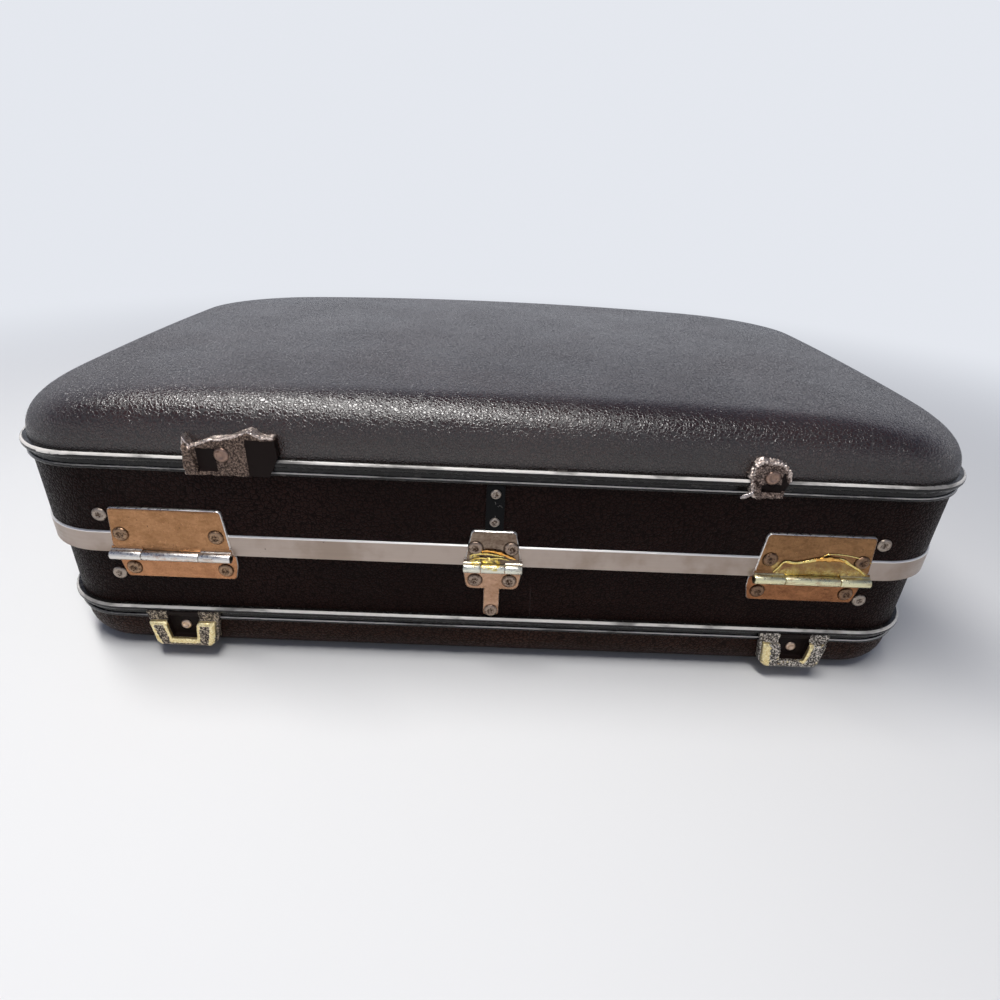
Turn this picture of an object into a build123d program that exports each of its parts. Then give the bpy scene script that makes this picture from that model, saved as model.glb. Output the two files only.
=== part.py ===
from build123d import *
import os

os.makedirs("parts", exist_ok=True)

# A hard travel case that lies flat with its hinges towards -Y and its handle towards +Y.
# Z = 0 is the surface it lies on, and the origin is under the middle of the case.

# Overall case
case_width = 526.0
case_depth = 325.0
corner_radius = 43.0
base_height = 73.0
lid_height = 95.5
wall_thickness = 3.0
fit_gap = 0.4
soft_gap = 0.35
base_inset = wall_thickness + fit_gap

# Moulded panels
panel_thickness = 2.4
lid_crown = 10.0
lid_edge_radius = 31.0
base_edge_radius = 19.0
rim_lap_thickness = 1.6
rim_lap_reach = 7.0
rim_ledge = 2.0

# Double-bead welt
bead_reach = 3.6
bead_height = 4.2
bead_round = 1.9
thin_bead_reach = 2.0
thin_bead_height = 2.2
thin_bead_round = 0.9
welt_groove = 3.2
welt_web = 0.8
welt_nip = 1.2
nip_below_top = 2.5
lid_rim_height = 60.7
base_rim_height = 35.0

# Metal closing band of the lid, its rest ledge and tongue frame of the base
ledge_reach = 2.6
ledge_height = 2.0
band_height = 13.0
band_thickness = 0.9
band_foot = 1.2
band_chamfer = 0.5
frame_web = 1.2
frame_leaf = 1.5
tongue_rise = 8.5
frame_leg = 12.0
frame_leg_thickness = 1.2

# Hinges
hinge_inset = 83.7
centre_hinge_x = -1.0
barrel_radius = 2.7
hinge_pin_radius = 1.1
shaft_clearance = 0.05
knuckle_gap = 0.3
barrel_clearance = 0.3
leaf_thickness = 1.2
leaf_corner = 2.6
side_barrel_length = 66.0
side_knuckle_share = 0.47
side_leaf_top_half = 30.4
side_leaf_low_half = 31.0
side_leaf_rise = 28.5
side_leaf_drop = 18.6
side_leaf_low_corner = 2.6
side_rivet_half = 25.9
centre_barrel_length = 33.0
centre_knuckle_share = 0.40
centre_leaf_top_half = 12.3
centre_leaf_low_half = 15.0
centre_leaf_rise = 23.0
centre_leaf_drop = 18.4
centre_leaf_low_corner = 4.0
centre_rivet_half = 9.9
leaf_rivet_rise = 12.3
leaf_rivet_drop = 12.1
leaf_shoulder_share = 0.55
tail_half = 4.7
tail_above_welt = 0.6
tail_rivet_above_welt = 4.6
strap_half = 5.0
strap_thickness = 1.0
strap_corner = 2.0
strap_rivet_inset = 5.3
strap_rivet_radius = 2.8
loose_rivet_outset = 36.0
loose_rivet_rise = 23.0
loose_rivet_drop = 17.0

# Rivets
rivet_head_radius = 4.0
rivet_head_height = 1.3
rivet_shank_radius = 1.6
rivet_end_gap = 0.2

# Feet on the hinge side
foot_inset = 80.4
foot_half_width = 21.4
foot_low_half_width = 15.0
foot_bottom = 9.0
foot_below_rim = 2.8
foot_plate_reach = 4.4
foot_ridge_reach = 8.4
foot_ridge_round = 1.4
foot_ridge_inset = 0.6
foot_leg_width = 10.6
foot_leg_low_width = 7.6
foot_leg_below_top = 5.6
foot_bar_height = 6.0
foot_corner = 3.0
foot_floor_reach = 2.6
foot_recess_top_gap = 3.0
foot_rivet_z = 22.0
foot_rivet_radius = 3.2
foot_rivet_height = 1.1
broken_foot_inset = 121.5
broken_foot_reach = 4.8
broken_foot_stub_reach = 7.0
broken_foot_depth = 12.0
broken_foot_low = 124.5
broken_seat_radius = 5.2
broken_seat_gap = 0.5
broken_foot_rivet_rise = 11.4
broken_rivet_radius = 3.9

# Handle
handle_half = 58.0
handle_pivot_z = 58.0
handle_pivot_reach = 7.0
handle_pin_radius = 2.0
handle_eye_radius = 4.6
handle_drop = 31.0
handle_offset = 8.0
handle_grip_radius = 8.5
handle_grip_round = 2.5
handle_arm_thickness = 5.0
handle_arm_taper = 2.2
bracket_ear_thickness = 3.0
bracket_gap = 0.3
bracket_plate = 2.0
bracket_corner = 3.0
bracket_plate_half = 16.0
bracket_rivet_half = 11.5
bracket_rivet_radius = 2.8
bracket_low_z = 44.0
bracket_top_z = 70.0

# Latches
latch_inset = 113.0
lock_half = 32.0
lock_low_z = 42.0
lock_top_z = 70.5
lock_depth = 9.0
lock_round = 1.2
lock_rivet_inset = 4.5
lock_rivet_radius = 2.4
small_head_height = 0.8
lug_half = 3.5
lug_low_z = 59.0
lug_height = 8.0
lug_depth = 7.0
slot_side_gap = 1.0
slot_low_gap = 2.5
bolt_size = 3.0
bolt_gap = 0.3
eye_gap = 0.6
slide_travel = 8.0
slide_rest_x = 25.5
slide_button_width = 9.0
slide_button_height = 12.0
slide_button_rise = 2.6
slide_neck_half = 2.5
slide_corner = 1.5
slide_chamfer = 0.6
slide_rib_pitch = 2.0
slide_rib_half = 0.4
slide_rib_depth = 0.5
key_offset = -20.0
key_radius = 5.0
key_depth = 7.5
key_proud = 0.8
key_chamfer = 0.4
keyway_width = 1.6
keyway_length = 6.0
keyway_depth = 4.5
hasp_half = 12.0
hasp_thickness = 1.8
hasp_gap = 0.4
hasp_axis_z = 91.0
hasp_knuckle_radius = 2.9
hasp_pin_radius = 1.1
hasp_low_z = 49.0
hasp_lip = 3.2
hasp_corner = 2.5
hasp_bracket_corner = 4.0
hasp_bracket_top_z = 108.0
hasp_bracket_half = 14.0
hasp_bracket_plate = 1.5
hasp_rivet_inset = 4.5
hasp_knuckle_half = 4.6

# Lining, pocket and packing straps
lining_thickness = 1.2
lining_floor_gap = 0.4
pocket_end_gap = 93.0
pocket_side_gap = 70.5
pocket_thickness = 4.0
pocket_corner = 12.0
strap_half_width = 12.0
webbing_thickness = 1.6
packing_strap_inset = 153.0
packing_strap_end_gap = 32.5
buckle_half = 17.0
buckle_length = 24.0
buckle_thickness = 3.0
buckle_frame = 3.5
buckle_y = 20.0

# Places that follow from the sizes
parting_z = base_height
case_top = base_height + lid_height
lid_rim = parting_z + lid_rim_height
lid_nip_top = lid_rim - nip_below_top
lid_nip_low = lid_nip_top - welt_nip
base_rim = base_rim_height
base_nip_top = base_rim - nip_below_top
base_nip_low = base_nip_top - welt_nip
base_wall_top = parting_z - fit_gap
lid_back = -case_depth / 2
base_back = lid_back + base_inset
base_front = -base_back
lid_front = -lid_back
band_back = lid_back - band_thickness
hinge_y = band_back - barrel_radius - barrel_clearance
band_top = parting_z + band_height
welt_height = bead_height + welt_groove + thin_bead_height
lid_welt_low = lid_rim - welt_height
leaf_rivet_z = parting_z + leaf_rivet_rise
low_rivet_z = parting_z - leaf_rivet_drop
tail_low_z = base_rim + tail_above_welt
tail_rivet_z = base_rim + tail_rivet_above_welt
crown_sphere = ((case_width / 2) ** 2 + (case_depth / 2) ** 2) / (2 * lid_crown)
hinge_x = case_width / 2 - hinge_inset
foot_x = case_width / 2 - foot_inset
broken_foot_x = case_width / 2 - broken_foot_inset
latch_x = case_width / 2 - latch_inset
pocket_half_x = case_width / 2 - pocket_end_gap
pocket_half_y = case_depth / 2 - pocket_side_gap
packing_strap_x = case_width / 2 - packing_strap_inset
packing_strap_half_length = case_depth / 2 - packing_strap_end_gap


def save(shape, name, colour_rgb):
    solids = shape.solids()
    group = solids[0] if len(solids) == 1 else Compound(children=list(solids))
    group.label = name
    group.color = Color(*colour_rgb)
    export_step(group, f"parts/{name}.step")


BLACK = (0.05, 0.04, 0.035)
GREY = (0.3, 0.3, 0.31)
SILVER = (0.72, 0.72, 0.73)
BRASS = (0.72, 0.6, 0.32)
CLOTH = (0.5, 0.42, 0.32)


# Basic shapes
ON_END = (Align.CENTER, Align.CENTER, Align.MIN)


def slab(offset, low, high):
    """A flat block in the outline of the lid's wall, made larger or smaller by an offset."""
    outline = RectangleRounded(
        case_width + 2 * offset, case_depth + 2 * offset, corner_radius + offset
    )
    return Pos(0, 0, low) * extrude(outline, amount=high - low)


def ring(outer, inner, low, high):
    return slab(outer, low, high) - slab(inner, low, high)


def block(x_low, x_high, y_low, y_high, z_low, z_high):
    size = (x_high - x_low, y_high - y_low, z_high - z_low)
    return Pos(x_low, y_low, z_low) * Box(*size, align=(Align.MIN, Align.MIN, Align.MIN))


def rod_x(x_low, x_high, y, z, radius):
    rod = Rot(0, 90, 0) * Cylinder(radius, x_high - x_low, align=ON_END)
    return Pos(x_low, y, z) * rod


def rod_y(x, y_low, y_high, z, radius):
    rod = Rot(-90, 0, 0) * Cylinder(radius, y_high - y_low, align=ON_END)
    return Pos(x, y_low, z) * rod


def plate_y(points, y_low, y_high):
    """An upright plate with an outline in X and Z, between two places in Y."""
    face = Plane.XZ * make_face(Polyline(*points, close=True))
    return Pos(0, y_high, 0) * extrude(face, amount=y_high - y_low)


def above(shape, level):
    """The edges that lie wholly above a level."""
    return [edge for edge in shape.edges() if edge.bounding_box().min.Z > level]


def below(shape, level):
    return [edge for edge in shape.edges() if edge.bounding_box().max.Z < level]


def bead(inner, reach, low, high, radius):
    """A rounded strip that stands out from the wall by a reach."""
    solid = slab(inner + reach, low, high)
    solid = fillet(above(solid, high - 0.01) + below(solid, low + 0.01), radius)
    return solid - slab(inner, low, high)


def welt(inner, rim, nip_low):
    """One extrusion: a main bead, a groove, a thin bead and a lip that is nipped in the seam."""
    low = rim - bead_height - welt_groove - thin_bead_height
    main = bead(inner, bead_reach, rim - bead_height, rim, bead_round)
    thin = bead(inner, thin_bead_reach, low, low + thin_bead_height, thin_bead_round)
    web = ring(inner + welt_web, inner, low + thin_bead_round, rim - bead_round)
    lip = ring(inner + welt_web, inner - wall_thickness, nip_low, nip_low + welt_nip)
    return main + thin + web + lip


def lid_dome(offset, low, high, edge_radius, sphere):
    """The crowned top of the lid as a full block, down to a given level."""
    solid = slab(offset, low, high) & Pos(0, 0, high - sphere) * Sphere(sphere)
    return fillet(above(solid, low + 1), edge_radius)


def base_dome(offset, low, high, edge_radius):
    solid = slab(offset, low, high)
    return fillet(below(solid, high - 1), edge_radius)


# Rivets
def wall_rivet(x, z, head_y, end_y, facing, head):
    """A domed rivet whose head sits at head_y and whose shank runs to end_y through the wall."""
    head_radius, height = head
    ball = (head_radius**2 + height**2) / (2 * height)
    outer_y = head_y + facing * height
    dome = Pos(x, outer_y - facing * ball, z) * Sphere(ball)
    low, high = sorted((head_y, outer_y))
    cap = rod_y(x, low, high, z, head_radius + rivet_head_height) & dome
    low, high = sorted((head_y, end_y))
    return cap + rod_y(x, low, high, z, rivet_shank_radius)


def rivet_bore(x, z, y_low, y_high):
    return rod_y(x, y_low, y_high, z, rivet_shank_radius + shaft_clearance)


# Hinges: each has a leaf on the lid, a leaf on the base and a pin through three knuckles
class Hinge:
    def __init__(self, name, x, barrel, knuckle_share, leaf, rivet_half):
        top_half, low_half, rise, drop, low_corner = leaf
        self.name = name
        self.x = x
        self.half = barrel / 2
        self.centre = barrel * knuckle_share / 2
        self.top_half = top_half
        self.low_half = low_half
        self.rise = rise
        self.drop = drop
        self.low_corner = low_corner
        self.lid_rivets = [(x + side * rivet_half, leaf_rivet_z) for side in (-1, 1)]
        self.base_rivets = [(x + side * rivet_half, low_rivet_z) for side in (-1, 1)]
        self.loose_lid_rivets = []
        self.loose_base_rivets = []


side_leaf = (
    side_leaf_top_half, side_leaf_low_half, side_leaf_rise, side_leaf_drop, side_leaf_low_corner
)
centre_leaf = (
    centre_leaf_top_half, centre_leaf_low_half, centre_leaf_rise, centre_leaf_drop,
    centre_leaf_low_corner,
)
side_sizes = (side_barrel_length, side_knuckle_share, side_leaf, side_rivet_half)
centre_sizes = (centre_barrel_length, centre_knuckle_share, centre_leaf, centre_rivet_half)
hinge_left = Hinge("hinge_left", -hinge_x, *side_sizes)
hinge_right = Hinge("hinge_right", hinge_x, *side_sizes)
hinge_centre = Hinge("hinge_centre", centre_hinge_x, *centre_sizes)
hinge_centre.base_rivets.append((centre_hinge_x, tail_rivet_z))
hinges = [hinge_left, hinge_centre, hinge_right]
leaf_back = band_back
leaf_face = band_back - leaf_thickness
low_leaf_face = base_back - leaf_thickness


def lid_leaf(hinge):
    """Trapezoid leaf on the closing band, curled into the two end knuckles."""
    x = hinge.x
    low = parting_z + barrel_clearance
    top = parting_z + hinge.rise
    points = [
        (x - hinge.half + knuckle_gap, low), (x - hinge.top_half, top),
        (x + hinge.top_half, top), (x + hinge.half - knuckle_gap, low),
    ]
    leaf = plate_y(points, leaf_face, lid_back)
    corners = leaf.edges().filter_by(Axis.Y).group_by(Axis.Z)[-1]
    leaf = fillet(corners, leaf_corner)
    band_room = band_top + band_chamfer
    leaf -= block(x - hinge.half, x + hinge.half, band_back, lid_back + 1, low - 1, band_room)
    room = hinge.centre + knuckle_gap
    keep_out = barrel_radius + barrel_clearance
    leaf -= block(x - room, x + room, leaf_face - 1, leaf_back + 1, low - 1, parting_z + keep_out)
    for low_x, high_x in ((x - hinge.half, x - room), (x + room, x + hinge.half)):
        leaf += rod_x(low_x, high_x, hinge_y, parting_z, barrel_radius)
    bore = hinge_pin_radius + shaft_clearance
    leaf -= rod_x(x - hinge.half - 1, x + hinge.half + 1, hinge_y, parting_z, bore)
    return drill(leaf, hinge.lid_rivets, leaf_face - 1, lid_back + 1)


def base_leaf(hinge):
    """Leaf on the base wall, joined to the middle knuckle by a bridge under the band."""
    x = hinge.x
    top = base_wall_top - frame_web
    low = parting_z - hinge.drop
    shoulder = low + leaf_shoulder_share * (top - low)
    points = [(x - hinge.half, top), (x - hinge.half, shoulder), (x - hinge.low_half, low)]
    points += [(x + hinge.low_half, low), (x + hinge.half, shoulder), (x + hinge.half, top)]
    leaf = plate_y(points, low_leaf_face, base_back)
    leaf = fillet(leaf.edges().filter_by(Axis.Y).group_by(Axis.Z)[0], hinge.low_corner)
    bridge_high = base_wall_top - fit_gap
    bridge_low = bridge_high - leaf_thickness
    leaf += block(x - hinge.centre, x + hinge.centre, hinge_y, base_back, bridge_low, bridge_high)
    leaf += rod_x(x - hinge.centre, x + hinge.centre, hinge_y, parting_z, barrel_radius)
    if hinge is hinge_centre:
        leaf += centre_tail()
    bore = hinge_pin_radius + shaft_clearance
    leaf -= rod_x(x - hinge.centre - 1, x + hinge.centre + 1, hinge_y, parting_z, bore)
    return drill(leaf, hinge.base_rivets, low_leaf_face - 1, base_back + 1)


def hinge_pin(hinge):
    return rod_x(hinge.x - hinge.half, hinge.x + hinge.half, hinge_y, parting_z, hinge_pin_radius)


def centre_tail():
    low = tail_low_z
    top = parting_z - centre_leaf_drop + leaf_thickness
    tail = block(
        centre_hinge_x - tail_half, centre_hinge_x + tail_half, low_leaf_face, base_back, low, top
    )
    corners = tail.edges().filter_by(Axis.Y).group_by(Axis.Z)[0]
    return fillet(corners, leaf_corner)


# Where the rivets of each wall go
lid_wall_rivets = [place for hinge in hinges for place in hinge.lid_rivets]
base_wall_rivets = [place for hinge in hinges for place in hinge.base_rivets]
loose_x = hinge_x + loose_rivet_outset
for hinge, side in ((hinge_left, -1), (hinge_right, 1)):
    hinge.loose_lid_rivets.append((side * loose_x, parting_z + loose_rivet_rise))
    hinge.loose_base_rivets.append((side * loose_x, parting_z - loose_rivet_drop))
loose_lid_rivets = [place for hinge in hinges for place in hinge.loose_lid_rivets]
loose_base_rivets = [place for hinge in hinges for place in hinge.loose_base_rivets]
strap_low = parting_z + centre_leaf_rise
strap_top = lid_welt_low - fit_gap
strap_rivets = [
    (centre_hinge_x, strap_low + strap_rivet_inset),
    (centre_hinge_x, strap_top - strap_rivet_inset),
]
foot_rivets = [(side * foot_x, foot_rivet_z) for side in (-1, 1)]
broken_rivet_z = broken_foot_low + broken_foot_rivet_rise
broken_floor = lid_back - bead_reach - broken_seat_gap
broken_rivets = [(side * broken_foot_x, broken_rivet_z) for side in (-1, 1)]

bracket_rivet_z = (bracket_low_z + bracket_top_z) / 2
bracket_rivets = [
    (side * handle_half + step, bracket_rivet_z)
    for side in (-1, 1)
    for step in (-bracket_rivet_half, bracket_rivet_half)
]
lock_rivets = [
    (side * latch_x + step, lock_low_z + lock_rivet_inset)
    for side in (-1, 1)
    for step in (-lock_half + lock_rivet_inset, lock_half - lock_rivet_inset)
]
hasp_rivets = [
    (side * latch_x + step, hasp_bracket_top_z - hasp_rivet_inset)
    for side in (-1, 1)
    for step in (-hasp_bracket_half + hasp_rivet_inset, hasp_bracket_half - hasp_rivet_inset)
]


def drill(shape, places, y_low, y_high):
    for x, z in places:
        shape -= rivet_bore(x, z, y_low, y_high)
    return shape


# Lid shell
inner_back = lid_back + wall_thickness
inner_base_back = base_back + wall_thickness
lap = wall_thickness + rim_lap_thickness
drilled_lid = lid_wall_rivets + loose_lid_rivets + strap_rivets


def make_lid_panel():
    outer = lid_dome(0, lid_nip_top, case_top, lid_edge_radius, crown_sphere)
    inner = lid_dome(
        -panel_thickness,
        lid_nip_top,
        case_top - panel_thickness,
        lid_edge_radius - panel_thickness,
        crown_sphere - panel_thickness,
    )
    panel = outer - inner
    panel += ring(-panel_thickness, -lap, lid_nip_top, lid_nip_top + rim_ledge)
    panel += ring(-wall_thickness, -lap, lid_nip_low - rim_lap_reach, lid_nip_top)
    return drill(panel, broken_rivets, lid_back - 1, lid_back + lap + 1)


def make_lid_wall():
    wall = ring(0, -wall_thickness, parting_z + band_foot, lid_nip_low)
    ledge_low = parting_z + tongue_rise + fit_gap
    inside = -wall_thickness
    ledge = ring(inside, inside - ledge_reach, ledge_low, ledge_low + ledge_height)
    wall = drill(wall + ledge, drilled_lid, lid_back - 1, inner_back + 0.01)
    return drill(wall, hasp_rivets, lid_front - wall_thickness - 0.01, lid_front + 1)


def make_lid_band():
    face = slab(band_thickness, parting_z, band_top)
    face = chamfer(above(face, band_top - 0.01), band_chamfer)
    band = face - slab(0, parting_z + band_foot, band_top + 1)
    band -= slab(-wall_thickness, parting_z - 1, parting_z + band_foot + 1)
    return drill(band, lid_wall_rivets, band_back - 1, lid_back + wall_thickness - 0.01)


def make_lid_welt():
    return welt(0, lid_rim, lid_nip_low)


# Base shell
def make_base_panel():
    outer = base_dome(-base_inset, 0, base_nip_low, base_edge_radius)
    inner = base_dome(
        -base_inset - panel_thickness,
        panel_thickness,
        base_nip_low,
        base_edge_radius - panel_thickness,
    )
    panel = outer - inner
    edge = -base_inset - panel_thickness
    panel += ring(edge, -base_inset - lap, base_nip_low - rim_ledge, base_nip_low)
    inside = -base_inset - wall_thickness
    panel += ring(inside, -base_inset - lap, base_nip_low, base_nip_top + rim_lap_reach)
    return drill(panel, foot_rivets, base_back - 1, base_back + panel_thickness + 1)


def make_base_wall():
    wall = ring(-base_inset, -base_inset - wall_thickness, base_nip_top, base_wall_top)
    wall = drill(wall, base_wall_rivets + loose_base_rivets, base_back - 1, inner_base_back + 0.01)
    front_rivets = bracket_rivets + lock_rivets
    return drill(wall, front_rivets, base_front - wall_thickness - 0.01, base_front + 1)


def make_base_frame():
    """Web on top of the wall, a tongue that the lid closes over and a leg inside the wall."""
    inside = -base_inset - wall_thickness
    frame = ring(-base_inset, inside - frame_leg_thickness, base_wall_top, base_wall_top + frame_web)
    frame += ring(-base_inset, -base_inset - frame_leaf, base_wall_top, parting_z + tongue_rise)
    frame += ring(inside, inside - frame_leg_thickness, base_wall_top - frame_leg, base_wall_top)
    return frame


# Feet
def foot_outline(top, half_width, inset):
    """The foot's outline: wide at the top, narrow below, with its low corners cut."""
    low = foot_bottom + inset
    low_half = foot_low_half_width - inset
    corner = low_half + foot_corner
    right = [(half_width, top), (corner, foot_bottom + foot_corner), (low_half, low)]
    left = [(-x, z) for x, z in reversed(right)]
    return [(foot_x + x, z) for x, z in right + left]


def make_foot(side):
    """Standing foot: a plate over the thin bead with a raised U and a recess for its rivet."""
    top = base_rim - foot_below_rim
    deep = base_back + base_edge_radius / 2
    front = base_back - foot_ridge_reach
    plate_face = base_back - foot_plate_reach
    plate = plate_y(foot_outline(top, foot_half_width, 0), plate_face, deep)
    spread = (foot_half_width - foot_low_half_width) * foot_leg_below_top / (top - foot_bottom)
    leg_half = foot_half_width - spread - foot_ridge_inset
    ridge_shape = foot_outline(top - foot_leg_below_top, leg_half, foot_ridge_inset)
    ridge = plate_y(ridge_shape, front, plate_face + foot_ridge_inset)
    ridge = chamfer(ridge.faces().sort_by(Axis.Y)[0].edges(), foot_ridge_round)
    recess_top = foot_half_width - foot_leg_width - spread
    recess_low = foot_low_half_width - foot_leg_low_width
    recess_high = top - foot_recess_top_gap
    recess_bottom = foot_bottom + foot_bar_height
    recess_shape = [(recess_top, recess_high), (recess_low, recess_bottom)]
    recess_shape += [(-x, z) for x, z in reversed(recess_shape)]
    recess_shape = [(foot_x + x, z) for x, z in recess_shape]
    recess = plate_y(recess_shape, front - 1, base_back - foot_floor_reach)
    mouth = block(foot_x - recess_top, foot_x + recess_top, front - 1, plate_face, recess_high, top)
    foot = plate + ridge - recess - mouth - base_core()
    if side < 0:
        foot = mirror(foot, Plane.YZ)
    return foot - rivet_bore(side * foot_x, foot_rivet_z, front - 1, deep + 1)


def base_core():
    """Everything that the feet sit on, as one filled block."""
    core = base_dome(-base_inset, 0, base_nip_low, base_edge_radius)
    core += slab(-base_inset, base_nip_low - 1, base_wall_top)
    return core + welt(-base_inset, base_rim, base_nip_low)


def lid_core():
    core = lid_dome(0, lid_nip_top, case_top, lid_edge_radius, crown_sphere)
    core += slab(0, parting_z, lid_nip_top)
    return core + welt(0, lid_rim, lid_nip_low)


def make_broken_foot(outline, ridge_outline, x, core):
    """What is left of a foot that has snapped off: a ragged plate, part of its ridge and a rivet seat."""
    plate_points = [(x + dx, broken_foot_low + dz) for dx, dz in outline]
    ridge_points = [(x + dx, broken_foot_low + dz) for dx, dz in ridge_outline]
    front = lid_back - broken_foot_stub_reach
    behind = lid_back + broken_foot_depth
    foot = plate_y(plate_points, lid_back - broken_foot_reach, behind)
    foot += plate_y(ridge_points, front, lid_back)
    seat = rod_y(x, front - 1, broken_floor, broken_rivet_z, broken_seat_radius)
    foot = foot - seat - core
    return foot - rivet_bore(x, broken_rivet_z, front - 1, behind + 1)


# Ragged outlines, from the rivet's middle line and the foot's lower edge
left_stub = [
    (-20, 0), (-19.5, 11), (-18.6, 21.8), (-14.9, 15.7), (-10, 17.8), (-5.8, 19.7), (2, 20.5),
    (7.8, 22), (15.2, 25.1), (21.5, 21.4), (27.6, 22), (28.6, 11), (23, 0),
]
left_ridge = [(-19, 1), (-18.5, 17), (-14, 14.5), (-12, 1)]
right_stub = [
    (-8, 0), (-10.5, 5), (-11.7, 12), (-10, 17.5), (-7.5, 20.6), (3.3, 19.8), (7.8, 16.5),
    (10, 11), (8.2, 6.5), (8, 0),
]
right_ridge = [(-7, 1), (-10, 9), (-6.5, 5), (6, 3), (5, 1)]


# Handle: two arms and a grip that swing on pins in two brackets
pivot_y = base_front + handle_pivot_reach
grip_y = pivot_y + handle_offset
grip_z = handle_pivot_z - handle_drop


def make_bracket(side):
    x = side * handle_half
    low_z = bracket_low_z
    plate = block(
        x - bracket_plate_half, x + bracket_plate_half, base_front, base_front + bracket_plate,
        low_z, bracket_top_z,
    )
    plate = fillet(plate.edges().filter_by(Axis.Y), bracket_corner)
    inner = handle_arm_thickness / 2 + bracket_gap
    outer = inner + bracket_ear_thickness
    for low_x, high_x in ((x - outer, x - inner), (x + inner, x + outer)):
        plate += rod_x(low_x, high_x, pivot_y, handle_pivot_z, handle_eye_radius)
        plate += block(
            low_x, high_x, base_front, pivot_y,
            handle_pivot_z - handle_eye_radius, handle_pivot_z + handle_eye_radius,
        )
    bore = handle_pin_radius + shaft_clearance
    plate -= rod_x(x - outer - 1, x + outer + 1, pivot_y, handle_pivot_z, bore)
    return drill(plate, bracket_rivets, base_front - 1, base_front + bracket_plate + 1)


def make_handle_pin(side):
    x = side * handle_half
    half = handle_arm_thickness / 2 + bracket_gap + bracket_ear_thickness
    return rod_x(x - half, x + half, pivot_y, handle_pivot_z, handle_pin_radius)


def make_handle_arm(side):
    """A flat arm that tapers from the grip up to the eye."""
    eye = Pos(pivot_y, handle_pivot_z) * Circle(handle_eye_radius - 0.2)
    foot = Pos(grip_y, grip_z) * Circle(handle_grip_radius - handle_arm_taper)
    outline = Plane.YZ * make_hull(eye.edges() + foot.edges())
    arm = extrude(outline, amount=handle_arm_thickness / 2, dir=(1, 0, 0), both=True)
    arm = Pos(side * handle_half, 0, 0) * arm
    half = handle_arm_thickness
    x = side * handle_half
    bore = handle_pin_radius + shaft_clearance
    return arm - rod_x(x - half, x + half, pivot_y, handle_pivot_z, bore)


def make_handle_grip():
    half = handle_half - handle_arm_thickness / 2
    grip = rod_x(-half, half, grip_y, grip_z, handle_grip_radius)
    ends = [edge for edge in grip.edges() if edge.geom_type == GeomType.CIRCLE]
    return fillet(ends, handle_grip_round)


# Latches: a lock box on the base, a hasp hinged on the lid, a hand-worked bolt and a key plug
lock_face = base_front + lock_depth
hasp_back = lock_face + hasp_gap
hasp_y = hasp_back + hasp_thickness - hasp_knuckle_radius
lug_back = hasp_back - lug_depth
bolt_y = hasp_back - lug_depth / 2
bolt_z = lug_low_z + lug_height / 2
slot_half = lug_half + slot_side_gap
bolt_tip = slot_half + slot_side_gap / 2


def make_lock_box(side):
    box = block(-lock_half, lock_half, base_front, lock_face, lock_low_z, lock_top_z)
    box = fillet(box.edges().filter_by(Axis.Y), lock_round * 2)
    box = fillet(box.faces().sort_by(Axis.Y)[-1].edges(), lock_round)
    box -= block(
        -slot_half, slot_half, lug_back - slot_side_gap, lock_face + 1,
        lug_low_z - slot_low_gap, lock_top_z + 1,
    )
    room = bolt_size / 2 + bolt_gap
    neck_room = slide_neck_half + bolt_gap
    box -= block(0, slide_rest_x + neck_room, bolt_y - room, bolt_y + room, bolt_z - room, bolt_z + room)
    box -= block(
        slide_rest_x - slide_travel - neck_room, slide_rest_x + neck_room,
        bolt_y - room, lock_face + 1, bolt_z - room, bolt_z + room,
    )
    key_back = lock_face - key_depth
    bore = key_radius + shaft_clearance
    box -= rod_y(key_offset, key_back - shaft_clearance, lock_face + 1, bolt_z, bore)
    return place_latch(box, side, lock_rivets)


def place_latch(shape, side, rivets):
    if side < 0:
        shape = mirror(shape, Plane.YZ)
    return drill(Pos(side * latch_x, 0, 0) * shape, rivets, base_front - 1, lock_face + 3)


def make_slide(side):
    half = bolt_size / 2
    bolt = block(
        bolt_tip, slide_rest_x + slide_neck_half, bolt_y - half, bolt_y + half, bolt_z - half, bolt_z + half
    )
    bolt += block(
        slide_rest_x - slide_neck_half, slide_rest_x + slide_neck_half,
        bolt_y - half, lock_face + bolt_gap, bolt_z - half, bolt_z + half,
    )
    low_y = lock_face + bolt_gap
    button = block(
        slide_rest_x - slide_button_width / 2, slide_rest_x + slide_button_width / 2,
        low_y, low_y + slide_button_rise,
        bolt_z - slide_button_height / 2, bolt_z + slide_button_height / 2,
    )
    button = fillet(button.edges().filter_by(Axis.Y), slide_corner)
    button = chamfer(button.faces().sort_by(Axis.Y)[-1].edges(), slide_chamfer)
    high_y = low_y + slide_button_rise
    for step in (-slide_rib_pitch, 0, slide_rib_pitch):
        x = slide_rest_x + step
        button -= block(
            x - slide_rib_half, x + slide_rib_half, high_y - slide_rib_depth, high_y + 1,
            bolt_z - slide_button_height / 3, bolt_z + slide_button_height / 3,
        )
    return place_latch(bolt + button, side, [])


def make_key_plug(side):
    front = lock_face + key_proud
    plug = rod_y(key_offset, lock_face - key_depth, front, bolt_z, key_radius)
    plug = chamfer(plug.faces().sort_by(Axis.Y)[-1].edges(), key_chamfer)
    plug -= block(
        key_offset - keyway_width / 2, key_offset + keyway_width / 2, front - keyway_depth, front + 1,
        bolt_z - keyway_length / 2, bolt_z + keyway_length / 2,
    )
    return place_latch(plug, side, [])


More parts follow.
